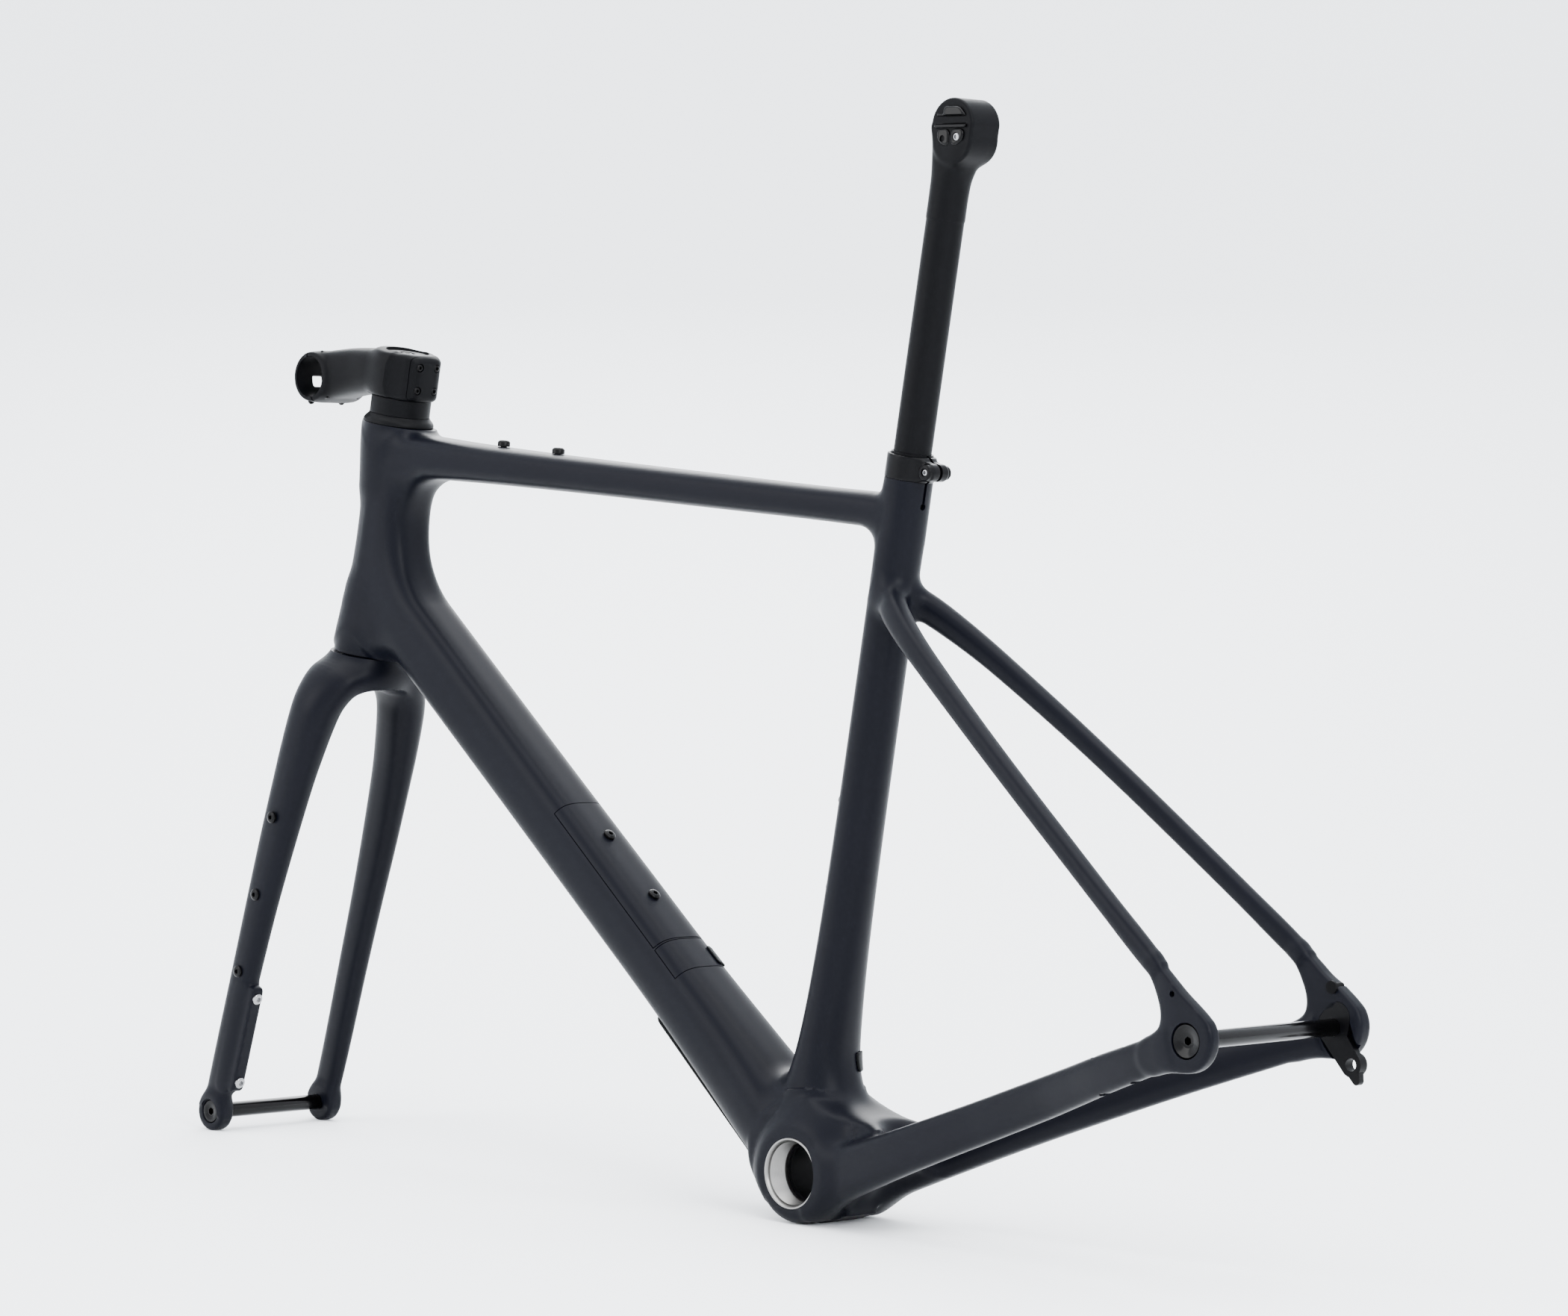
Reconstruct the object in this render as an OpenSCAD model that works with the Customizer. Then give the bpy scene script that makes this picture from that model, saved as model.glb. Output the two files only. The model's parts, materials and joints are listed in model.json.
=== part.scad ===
// Bicycle frameset: monocoque-style frame, fork, headset, stem, seatpost and
// thru axles. Millimetres, +X forward, +Y left, +Z up. The origin is the
// bottom bracket centre. The frameset stands on its bottom bracket shell and
// on both fork tips, so the level-wheels layout below is pitched nose down.

/* [Frame layout] */
// Bottom bracket centre to rear axle
chainstay = 420; // [415:1:428]
// Drop of the bottom bracket below the axle line
bb_drop = 74; // [70:1:78]
// Bottom bracket to front axle, along the ground
front_centre = 620; // [612:1:630]
// Head tube angle to the ground
head_angle = 72.2; // [71.6:0.1:72.8]
// Seat tube angle to the ground
seat_angle = 72.4; // [71.8:0.1:73]
// Head tube length
head_len = 180; // [176:1:186]
// Bottom bracket to the top of the seat tube
seat_tube_len = 524; // [516:1:532]
// Rear hub spacing
rear_spacing = 142; // [142]

/* [Fork] */
// Fork offset, steering axis to front axle
fork_offset = 48; // [45:1:51]
// Front axle to crown race
axle_crown = 384; // [380:1:390]
// Front hub spacing
front_spacing = 100; // [100]
// Radius of the round fork tips
tip_r = 15; // [14.6:0.1:16]

/* [Bottom bracket] */
// Outer radius of the bottom bracket shell
bb_r = 36.5; // [36:0.1:37.5]
// Width over the threaded inserts
bb_width = 86.5; // [86.5]
// Crest radius of the shell thread
bb_thread_r = 23; // [23]

/* [Cockpit and post] */
// Stem length, steerer centre to bar centre
stem_len = 87; // [82:1:94]
// Stem angle to the square of the steerer
stem_drop = 11; // [9:0.5:13]
// Bar clamp radius
bar_r = 15.9; // [15.9]
// Seatpost radius
post_r = 13.6; // [13.6]
// Bottom bracket to the saddle clamp, along the post
post_height = 756; // [735:1:775]
// Distance of the saddle clamp behind the post axis
post_setback = 7; // [6:0.5:8]

/* [Storage hatch] */
// Length of the hatch door along the down tube
hatch_len = 153; // [148:1:156]
// Length of the latch lever along the down tube
latch_len = 29; // [27:1:30]

/* [Hidden] */
$fn = 64;

// --- layout points, in the level-wheels frame ---
rear_x = -sqrt(chainstay * chainstay - bb_drop * bb_drop);
front_x = front_centre;
up = [-cos(head_angle), 0, sin(head_angle)];
fw = [sin(head_angle), 0, cos(head_angle)];
below = sqrt(axle_crown * axle_crown - fork_offset * fork_offset);
low_head = [front_x, 0, bb_drop] - fork_offset * fw + below * up;
stand_pitch = atan2(bb_drop, front_x) + asin((bb_r - tip_r) / norm([front_x, bb_drop]));
st_up = [-cos(seat_angle), 0, sin(seat_angle)];
st_fw = [sin(seat_angle), 0, cos(seat_angle)];
st_foot = [20, 0, 0];
function loc(x, y, z) = low_head + x * fw + [0, y, 0] + z * up;
function seat(x, y, z) = st_foot + x * st_fw + [0, y, 0] + z * st_up;
half_rear = rear_spacing / 2;
half_front = front_spacing / 2;

// down tube axis
dt_a = [8.5, 0, 0.8];
dt_b = loc(0, 0, 61.8);
dt_len = norm(dt_b - dt_a);
dt_dir = (dt_b - dt_a) / dt_len;
dt_angle = atan2(dt_dir[2], dt_dir[0]);
// hatch span along the down tube axis
hatch_lo = 211;
hatch_hi = hatch_lo + hatch_len;
hatch_t = 12;
latch_lo = hatch_lo - 1 - latch_len;
// top tube axis
tt_a = seat(0, 0, 480.9);
tt_b = loc(0, 0, 156.6);
tt_len = norm(tt_b - tt_a);

// --- lofting ---
N = 24;
function cr(a, b, c, d, t) = 0.5 * (2 * b + (c - a) * t + (2 * a - 5 * b + 4 * c - d) * t * t
  + (3 * b - a - 3 * c + d) * t * t * t);
function dense(s, m) = [for (i = [0:len(s) - 2]) for (j = [0:m - 1])
  cr(s[max(i - 1, 0)], s[i], s[i + 1], s[min(i + 2, len(s) - 1)], j / m), s[len(s) - 1]];
function ctr(s) = [s[0], s[1], s[2]];
function unit(v) = v / norm(v);
function sp(v, e) = sign(v) * pow(abs(v), e);
// one ring of a superellipse, square to the path; ref sets the first half axis
function ring(c, t, ref, a, b, n) = let (u = unit(ref - (ref * t) * t), v = cross(t, u))
  [for (i = [0:N - 1]) let (q = 360 * i / N) c + a * sp(cos(q), 2 / n) * u + b * sp(sin(q), 2 / n) * v];
function tube_rings(s, ref, g) = [for (k = [0:len(s) - 1])
  let (t = unit(ctr(s[min(k + 1, len(s) - 1)]) - ctr(s[max(k - 1, 0)])))
  ring(ctr(s[k]), t, ref, s[k][3] + g, s[k][4] + g, s[k][5])];
function flat(l) = [for (r = l) for (p = r) p];
function rev(l) = [for (i = [len(l) - 1:-1:0]) l[i]];
module skin(r, loop) {
  k = len(r);
  side = [for (j = [0:(loop ? k - 1 : k - 2)]) for (i = [0:N - 1])
    let (a = j * N + i, b = j * N + (i + 1) % N, c = ((j + 1) % k) * N + (i + 1) % N, d = ((j + 1) % k) * N + i)
    each [[a, d, c], [a, c, b]]];
  ends = loop ? [] : [[for (i = [0:N - 1]) i], [for (i = [N - 1:-1:0]) (k - 1) * N + i]];
  polyhedron(points = flat(r), faces = concat(side, ends), convexity = 6);
}
module solid_tube(s, ref = [0, 1, 0], g = 0) skin(tube_rings(s, ref, g), false);
module hollow_tube(s, wall, ref = [0, 1, 0]) skin(concat(tube_rings(s, ref, 0), rev(tube_rings(s, ref, -wall))), true);

// --- frames of reference ---
module place() rotate([0, stand_pitch, 0]) children();
module steer() place() translate(low_head) rotate([0, head_angle - 90, 0]) children();
module seat_frame() place() translate(st_foot) rotate([0, seat_angle - 90, 0]) children();
// local x along the down tube, z square to it, upwards
module dt_frame() place() translate(dt_a) rotate([0, -dt_angle, 0]) children();
module ycyl(r, y0, y1) translate([0, y1, 0]) rotate([90, 0, 0]) cylinder(r = r, h = y1 - y0);
module xz(y0, y1) translate([0, y1, 0]) rotate([90, 0, 0]) linear_extrude(y1 - y0) children();
module rear_axis() place() translate([rear_x, 0, bb_drop]) children();
module front_axis() place() translate([front_x, 0, bb_drop]) children();
module mirror_y() mirror([0, 1, 0]) children();

carbon = [0.12, 0.13, 0.17];
matt = [0.10, 0.10, 0.11];

// --- head tube: a round nose that squares off towards the tubes behind it ---
// height, nose radius, half width, depth behind, squareness
ht = [[-1, 28, 28, 28.4, 2], [10, 27.4, 27.4, 29, 2.3], [34, 23.2, 25, 32, 3],
  [76, 22.2, 23.2, 35.4, 3.4], [110, 22.2, 23, 36, 3.4], [140, 22.8, 23.8, 34.4, 2.9],
  [164, 25.4, 26, 30.6, 2.4], [head_len, 27.8, 27.8, 28, 2]];
function ht_ring(s) = [for (i = [0:N - 1]) let (q = 360 * i / N)
  loc(cos(q) >= 0 ? s[1] * cos(q) : -s[3] * pow(-cos(q), 2 / s[4]),
      s[2] * sp(sin(q), cos(q) >= 0 ? 1 : 2 / s[4]), s[0])];
function round_ring(r, z) = [for (i = [0:N - 1]) let (q = 360 * i / N) loc(r * cos(q), r * sin(q), z)];
module head_tube() color(carbon) place()
  skin(concat([for (s = dense(ht, 2)) ht_ring(s)],
    [round_ring(26.1, head_len), round_ring(26.1, head_len - 8), round_ring(20.9, head_len - 10),
     round_ring(20.9, 10), round_ring(26.1, 8), round_ring(26.1, -1)]), true);

function dt(s, a, b, n) = let (p = dt_a + s * dt_dir) [p[0], p[1], p[2], a, b, n];
dt_st = [dt(10, 38, 30, 2.6), dt(60, 34.5, 29, 2.8), dt(110, 30.5, 28, 3), dt(190, 27.6, 26.6, 3.1),
  dt(290, 26.2, 26.2, 3.2), dt(400, 25, 26.2, 3.4), dt(500, 24.2, 26.4, 3.6), dt(580, 24.2, 28.4, 3.7),
  dt(dt_len, 23.6, 34, 3.8)];
module dt_skin(wall) hollow_tube(dense(dt_st, 2), wall);
module bay_cut(g) dt_frame() union() {
  translate([0, 100, 0]) rotate([90, 0, 0]) linear_extrude(200)
    polygon([[hatch_lo + 1.8 - g, hatch_t - g], [hatch_hi + g, hatch_t - g], [hatch_hi + g, 60], [hatch_lo - 1 - g, 60]]);
}
module latch_cut(g) dt_frame()
  translate([latch_lo - g, -8 - g, hatch_t - g]) cube([latch_len + 2 * g, 60, 60]);
module dt_part(lo, hi) intersection() {
  place() dt_skin(1.8);
  dt_frame() translate([lo, -60, -70]) cube([hi - lo, 120, 150]);
}
module down_tube() color(carbon) resize([0, 0, 0]) difference() {
  dt_part(hatch_hi + 4, dt_len + 20);
  steer() translate([0, 0, -40]) cylinder(r = 23, h = 200, $fn = 48);
}
module down_tube_bay() color(carbon) resize([0, 0, 0]) difference() {
  dt_part(latch_lo - 4, hatch_hi + 4);
  bay_cut(0.4);
  latch_cut(0.4);
}
module down_tube_foot() color(carbon) resize([0, 0, 0]) difference() {
  dt_part(0, latch_lo - 4);
  place() ycyl(34, -60, 60);
}
module storage_hatch() color(carbon) resize([0, 0, 0]) intersection() {
  place() dt_skin(1.8);
  bay_cut(0);
}
module hatch_latch() color(matt) resize([0, 0, 0]) intersection() {
  place() dt_skin(1.8);
  latch_cut(0);
}

function tt(s, a, b, n) = let (p = tt_a + s / 547 * (tt_b - tt_a)) [p[0], p[1], p[2], a, b, n];
tt_st = [tt(0, 15.5, 13, 2.8), tt(80, 16.5, 12.3, 2.9), tt(180, 17.6, 12.6, 3), tt(300, 19, 13.1, 3.1),
  tt(400, 20.6, 14.2, 3.2), tt(460, 22, 15.8, 3.2), tt(505, 23.4, 18.6, 3.2), tt(547, 24.5, 23, 3.2)];
module top_tube() color(carbon) resize([0, 0, 0]) difference() {
  place() hollow_tube(dense(tt_st, 2), 1.5);
  steer() translate([0, 0, 60]) cylinder(r = 23, h = 200, $fn = 48);
  steer() translate([0, 0, head_len - 9]) cylinder(r = 26.5, h = 40, $fn = 48);
  seat_frame() translate([0, 0, 400]) cylinder(r = 15.6, h = 160, $fn = 48);
}

function st(q, a, b, n) = let (p = seat(0, 0, q)) [p[0], p[1], p[2], a, b, n];
st_st = [st(14, 36, 25, 2.5), st(60, 28.5, 22, 2.4), st(100, 23.4, 19.2, 2.2), st(160, 19.6, 18.4, 2.1),
  st(240, 17.9, 17.9, 2), st(350, 17.3, 17.3, 2), st(440, 17.2, 17.2, 2), st(seat_tube_len - 19, 17.2, 17.2, 2)];
module rear_slot() {
  translate([-30, -1.2, seat_tube_len - 36]) cube([30, 2.4, 60]);
  translate([-30, 0, seat_tube_len - 36]) rotate([0, 90, 0]) cylinder(r = 2.4, h = 30, $fn = 32);
}
module seat_tube() color(carbon) resize([0, 0, 0]) difference() {
  place() skin(concat(tube_rings(dense(st_st, 2), [0, 1, 0], 0),
    [for (q = [seat_tube_len - 19, seat_tube_len]) ring(seat(0, 0, q), st_up, [0, 1, 0], 15.8, 15.8, 2)],
    [for (q = [seat_tube_len, 372, 360]) ring(seat(0, 0, q), st_up, [0, 1, 0], q > 365 ? 15.06 : 15, q > 365 ? 15.06 : 15, 2)],
    [for (s = rev(dense([for (i = [0:5]) st_st[i]], 2))) ring(ctr(s), st_up, [0, 1, 0], s[3] - 2, s[4] - 2, s[5])]), true);
  place() ycyl(34, -60, 60);
  seat_frame() rear_slot();
}
module seatpost_sleeve() color(matt) seat_frame() difference() {
  translate([0, 0, 372]) cylinder(r = 15.1, h = seat_tube_len - 372);
  translate([0, 0, 370]) cylinder(r = post_r + 0.05, h = seat_tube_len - 368);
  rear_slot();
}

// --- bottom bracket ---
module bb_shell() color(carbon) place() difference() {
  rotate([90, 0, 0]) rotate_extrude()
    polygon([[25.4, -42], [bb_r - 3, -42], [bb_r, -39], [bb_r, 39], [bb_r - 3, 42], [25.4, 42]]);
  translate([0, 0, -40]) cylinder(r = 7, h = 16, $fn = 32);
}
module bb_insert() rotate([-90, 0, 0]) rotate_extrude()
  polygon([[bb_thread_r, 21], [25.4, 21], [25.4, 42], [25.8, 42.05], [25.8, bb_width / 2 - 0.4],
    [25.4, bb_width / 2], [bb_thread_r + 0.4, bb_width / 2], [bb_thread_r, bb_width / 2 - 0.4]]);
module bb_insert_left() color("silver") place() bb_insert();
module bb_insert_right() color("silver") place() mirror_y() bb_insert();
module bb_tunnel() color(matt) place() difference() { ycyl(25.4, -21, 21); ycyl(20, -22, 22); }
module bb_cable_cover() color("silver") place() {
  translate([0, 0, -35]) cylinder(r = 6.9, h = 9, $fn = 32);
}
module stay_yoke() color(carbon) resize([0, 0, 0]) difference() {
  place() hull() {
    translate([-30, 0, 6]) ycyl(20, -33, 33, $fn = 32);
    translate([-62, 0, 12]) ycyl(9, -36, 36, $fn = 32);
    translate([-38, 0, -12]) ycyl(14, -34, 34, $fn = 32);
  }
  place() ycyl(34, -60, 60);
}

// --- stays: fraction of the way back, side offset, half width, half height ---
// fraction of the way back, side offset, half width, half height, lift above the straight line
function cs(f, y, a, b, h = 0) = [f * rear_x, y, -12 + f * (bb_drop + 11) + h, a, b, 2.6];
cs_st = [cs(0.03, 29, 13, 22), cs(0.12, 32.5, 11.5, 19.4), cs(0.24, 36.4, 10, 17.2, 0.6), cs(0.35, 39, 9, 16.2, 1.2),
  cs(0.46, 41.5, 8.4, 15.6, 1.6), cs(0.614, 47.8, 7.8, 15, 2), cs(0.7, 54.7, 7.6, 14.4, 2), cs(0.78, 62.6, 7.3, 13.8, 1.8),
  cs(0.87, 70, 6.8, 13, 1), cs(0.95, 75, 6, 12)];
module chainstay(holes) resize([0, 0, 0]) difference() {
  place() hollow_tube(dense(cs_st, 1), 1.6);
  place() ycyl(34, -60, 60);
  if (holes) brake_pair() cylinder(r = 4, h = 60, center = true, $fn = 24);
}
module chainstay_left() color(carbon) chainstay(true);
module chainstay_right() color(carbon) mirror_y() chainstay(false);
ss_top = seat(-11.2, 0, 421);
function ss(x, y, a, b) = let (f = (-118 - x) / 269)
  [ss_top[0] + f * (rear_x + 26.5 - ss_top[0]), y, ss_top[2] + f * (bb_drop + 52.9 - ss_top[2]) + 5 * f * (1 - f), a, b, 2.3];
ss_st = [ss(-112, 7, 8.6, 11), ss(-126, 19, 8.6, 10.4), ss(-146, 29, 8, 9.4), ss(-169, 37.2, 7.6, 8.6),
  ss(-218, 49.4, 7, 7.8), ss(-263, 58.2, 6.8, 7.6), ss(-306, 65, 6.8, 7.6), ss(-347, 71, 6.8, 7.9),
  ss(-387, 76.2, 6, 8.8), ss(-396, 76.6, 5.6, 9)];
module seatstay() resize([0, 0, 0]) difference() {
  place() hollow_tube(dense(ss_st, 1), 1.5);
  seat_frame() translate([0, 0, 340]) cylinder(r = 15.6, h = 140, $fn = 48);
}
module seatstay_left() color(carbon) seatstay();
module seatstay_right() color(carbon) mirror_y() seatstay();

// --- rear ends ---
module dropout_shape() {
  hull() { circle(r = 15.5); translate([-4, 3]) circle(r = 17.5); translate([9, 33]) circle(r = 8.5); }
  hull() { circle(r = 15.5); translate([26, -5]) circle(r = 12); }
  hull() { translate([9, 33]) circle(r = 8.5); translate([25, 51]) circle(r = 5.5); }
  hull() { translate([6, 12]) circle(r = 10); translate([15, 31]) circle(r = 3); translate([25, 3]) circle(r = 7); }
}
module dropout_left() color(carbon) rear_axis() difference() {
  xz(half_rear, half_rear + 11) dropout_shape();
  ycyl(6.05, half_rear - 1, half_rear + 12);
  ycyl(12.2, half_rear + 5, half_rear + 12);
  translate([7, 0, 33]) ycyl(2.1, half_rear + 3, half_rear + 12, $fn = 32);
}
module dropout_right() color(carbon) rear_axis() difference() {
  xz(-half_rear - 13, -half_rear) dropout_shape();
  ycyl(9.05, -half_rear - 14, -half_rear + 1);
  xz(-half_rear - 5, -half_rear + 1) hanger_shape(0.3);
  translate([7, 0, 33]) ycyl(2.1, -half_rear - 14, -half_rear - 5, $fn = 32);
  translate([-3, 0, 27]) ycyl(3.05, -half_rear - 14, -half_rear + 1, $fn = 32);
}
module hanger_shape(g) {
  hull() { circle(r = 13 + g); translate([-4, 6]) circle(r = 11 + g); }
  hull() { translate([0, -6]) circle(r = 9.5 + g); translate([-12.3, -26]) circle(r = 8.5 + g); }
  hull() { translate([-12.3, -26]) circle(r = 7 + g); translate([-15.5, -37]) circle(r = 3 + g); }
}
module derailleur_hanger() color(matt) rear_axis() difference() {
  union() {
    xz(-half_rear - 4.8, -half_rear) hanger_shape(0);
    translate([-12.3, 0, -26]) ycyl(7.9, -half_rear - 8, -half_rear - 2);
  }
  ycyl(6.05, -half_rear - 9, -half_rear + 1);
  translate([-12.3, 0, -26]) ycyl(4.5, -half_rear - 9, -half_rear + 1);
}
module hanger_bolt() color(matt) rear_axis() difference() {
  union() { ycyl(9, -half_rear - 13, -half_rear - 4.9); ycyl(11.5, -half_rear - 14.6, -half_rear - 13.02); }
  ycyl(6.05, -half_rear - 16, -half_rear);
}
module cable_grommet() color("black") rear_axis() translate([-3, 0, 27])
  { ycyl(3, -half_rear - 9, -half_rear - 0.5, $fn = 32); ycyl(4.4, -half_rear, -half_rear + 2, $fn = 32);
    ycyl(3, -half_rear - 0.6, -half_rear + 0.1, $fn = 32); }
// two through sleeves for a flat-mount rear caliper, 34 mm apart
module brake_pair() place() for (i = [0, 1])
  translate([rear_x * (0.775 + (i ? 34 / chainstay : 0)), 62.2 + i * 6, -12 + (0.775 + (i ? 34 / chainstay : 0)) * (bb_drop + 11)])
    rotate([0, 11.6, 0]) children();
module rear_brake_inserts() color("silver") brake_pair() difference() {
  translate([0, 0, 1.8]) cylinder(r = 4.2, h = 27.2, center = true);
  cylinder(r = 2.75, h = 40, center = true);
}

// --- small fittings on the frame ---
module fd_mount_cover() color(matt) seat_frame() difference() {
  translate([-25.5, -7, 77]) rotate([0, -2, 0]) cube([8, 14, 15]);
  translate([2.2, 0, 60]) cylinder(r = 23, h = 60);
}
module down_tube_guard() color("black") resize([0, 0, 0]) difference() {
  intersection() {
    place() solid_tube(dense(dt_st, 2), g = 2.8);
    dt_frame() translate([28, -22, -80]) cube([157, 44, 66]);
  }
  place() solid_tube(dense(dt_st, 2), g = 0.05);
  place() ycyl(bb_r + 0.1, -60, 60);
}
module dome_bolt(r, h, l) {
  rotate_extrude($fn = 32) polygon([[0, -l], [2.4, -l], [2.4, 0], [r, 0], [r, h * 0.45], [r * 0.75, h * 0.85], [1.6, h], [1.6, h * 0.4], [0, h * 0.4]]);
}
module tt_frame() place() translate(tt_a) rotate([0, -atan2(tt_b[2] - tt_a[2], tt_b[0] - tt_a[0]), 0]) children();
module top_tube_bolts() color("black") tt_frame()
  for (x = [361, 422]) translate([x * tt_len / 547, 0, x < 400 ? 13.9 : 14.9]) dome_bolt(4.8, 4.6, 10);
module seat_tube_bottle_bolts() color("black") seat_frame()
  for (z = [205, 269]) translate([z < 230 ? 18.6 : 18.2, 0, z]) rotate([0, 90, 0]) dome_bolt(4.6, 3, 9);
module hatch_bolts() color("black") dt_frame()
  for (x = [256, 320]) translate([x, 0, 26.3]) dome_bolt(4.6, 3, 9);

// --- seat clamp ---
collar_z = seat_tube_len - 19;
module seat_clamp_collar() color("black") seat_frame() translate([0, 0, collar_z]) difference() {
  union() {
    cylinder(r = 17.6, h = 17.5);
    translate([-25, -7.5, 2.8]) cube([12, 15, 12]);
    translate([-24, 0, 8.75]) ycyl(6, -9, 9);
  }
  translate([0, 0, -1]) cylinder(r = 15.9, h = 20);
  translate([-40, -1.3, -1]) cube([25, 2.6, 20]);
  translate([-24, 0, 8.75]) ycyl(2.7, -12, 12, $fn = 32);
}
module seat_clamp_bolt() color("silver") seat_frame() translate([-24, 0, collar_z + 8.75]) difference() {
  union() { ycyl(2.65, -9, 9.1, $fn = 32); ycyl(4.3, 9.05, 12, $fn = 32); }
  ycyl(2, 10, 14, $fn = 6);
}
module seat_clamp_nut() color("black") seat_frame() translate([-24, 0, collar_z + 8.75])
  ycyl(5, -12, -9.05, $fn = 32);

// --- headset ---
module race(r0, r1, z0, z1) translate([0, 0, z0]) difference() {
  cylinder(r = r1, h = z1 - z0);
  translate([0, 0, -1]) cylinder(r = r0, h = z1 - z0 + 2);
}
module upper_bearing_outer() color("silver") steer() race(23.05, 26, head_len - 7.6, head_len - 0.6);
module upper_bearing_inner() color("silver") steer() race(20, 23, head_len - 7.6, head_len - 0.6);
module lower_bearing_outer() color("silver") steer() race(23.05, 26, 0.6, 7.6);
module lower_bearing_inner() color("silver") steer() race(19.9, 23, 0.6, 7.6);
module compression_ring() color(matt) steer() difference() {
  translate([0, 0, head_len - 8]) cylinder(r = 20.02, h = 8.2);
  translate([0, 0, head_len - 9]) cylinder(r = 14.3, h = 12);
}
module headset_cover() color("black") steer() difference() {
  translate([0, 0, head_len + 0.3]) rotate_extrude()
    polygon([[0, 0], [27.4, 0], [27.4, 1.6], [26.2, 4.2], [23.6, 7], [0, 7]]);
  translate([0, 0, head_len - 1]) cylinder(r = 14.35, h = 12);
}
cover_top = head_len + 7.3;
spacer_top = cover_top + 13.6;
stem_top = spacer_top + 34.5;
module stem_spacer() color(matt) steer() race(14.35, 23.4, cover_top, spacer_top);

// --- fork ---
module steerer() color(matt) steer() rotate_extrude()
  polygon([[16.2, -13], [19.88, -13], [19.88, 22], [14.28, 66], [14.28, stem_top - 6.2], [11.4, stem_top - 6.2], [11.4, 66], [16.2, 24]]);
function fk(x, y, z, a, b, n) = let (p = loc(x, y, z)) [p[0], p[1], p[2], a, b, n];
fz = -below;
fx = fork_offset;
leg_st = [fk(5.4, 46, -59, 20, 16, 2.2), fk(8.6, 48.7, -83, 19.2, 13.6, 2.2), fk(12, 50.6, -108, 18.3, 12, 2.3),
  fk(18.8, 52.9, -157, 16.6, 10.2, 2.3), fk(25.7, 54.3, -207, 14.7, 9.2, 2.3),
  fk(fx - 14.8, 55.2, fz + 116, 13.2, 8.7, 2.3), fk(fx - 7.4, 56.2, fz + 56, 12.4, 8.4, 2.3),
  fk(fx - 2.4, 56.4, fz + 18, 12.6, 6.6, 2.3), fk(fx, 56.2, fz + 4, 12, 5.8, 2.3)];
crown_half = [fk(5.4, 46, -61, 19.9, 15.9, 2.2), fk(4.4, 44.4, -51, 20.8, 16.1, 2.2), fk(2.6, 40.4, -35.6, 22.8, 15.8, 2.2),
  fk(1, 31.6, -24.6, 25, 14.6, 2.2), fk(0.2, 17, -18, 27, 13.4, 2.2), fk(0, 0, -16.4, 28, 12.6, 2.2)];
crown_st = concat(crown_half, [for (i = [4:-1:0]) let (s = crown_half[i]) [s[0], -s[1], s[2], s[3], s[4], s[5]]]);
module fork_crown() color(carbon) resize([0, 0, 0]) difference() {
  union() {
    place() solid_tube(dense(crown_st, 2), ref = fw);
    steer() translate([0, 0, -20]) cylinder(r = 28.2, h = 17.8, $fn = 48);
  }
  steer() translate([0, 0, -14]) cylinder(r = 19.7, h = 30, $fn = 48);
  steer() translate([0, 0, -60]) cylinder(r = 10, h = 80, $fn = 48);
}
module fork_leg() place() hollow_tube(dense(leg_st, 2), 1.8, ref = fw);
module axle_room() front_axis() ycyl(9.6, half_front - 10, half_front + 20, $fn = 36);
module fork_leg_left() color(carbon) resize([0, 0, 0]) difference() {
  union() { fork_leg(); brake_pad(); }
  axle_room();
}
module brake_pad() steer() hull() {
    translate([fx - 20.5, 56, fz + 27]) ycyl(3, -5.5, 5.5, $fn = 24);
    translate([fx - 29.5, 56, fz + 103]) ycyl(3, -5.5, 5.5, $fn = 24);
    translate([fx - 10, 56, fz + 22]) ycyl(4, -5, 5, $fn = 24);
    translate([fx - 19, 56, fz + 112]) ycyl(4, -5, 5, $fn = 24);
}
module fork_leg_right() color(carbon) mirror_y() resize([0, 0, 0]) difference() { fork_leg(); axle_room(); }
module fork_tip_left() color(carbon) front_axis() difference() {
  ycyl(tip_r, half_front, half_front + 12);
  ycyl(6.05, half_front - 1, half_front + 16);
  ycyl(9.2, half_front + 7.5, half_front + 16);
}
module fork_tip_right() color(carbon) front_axis() difference() {
  ycyl(tip_r, -half_front - 12, -half_front);
  ycyl(6.05, -half_front - 16, -half_front + 1);
}
leg_bolts = [[15.4, 53, -135], [24, 54, -199], [fx - 15.4, 55.1, fz + 118]];
module fork_mount_bolts() color("black") steer() for (m = [0, 1]) mirror([0, m, 0])
  for (b = leg_bolts) translate([b[0], b[1] + (b[2] > -140 ? 10.9 : b[2] > -200 ? 9.3 : 8.6), b[2]])
    rotate([-90, 0, 0]) dome_bolt(4.6, 2.4, 8);
module front_brake_bolts() color("silver") steer() for (d = [0, 70])
  translate([fx - 23.7 - d * 0.1184, 56, fz + 29.5 + d]) rotate([0, -96.6, 0]) dome_bolt(4.4, 2.6, 6);

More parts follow.
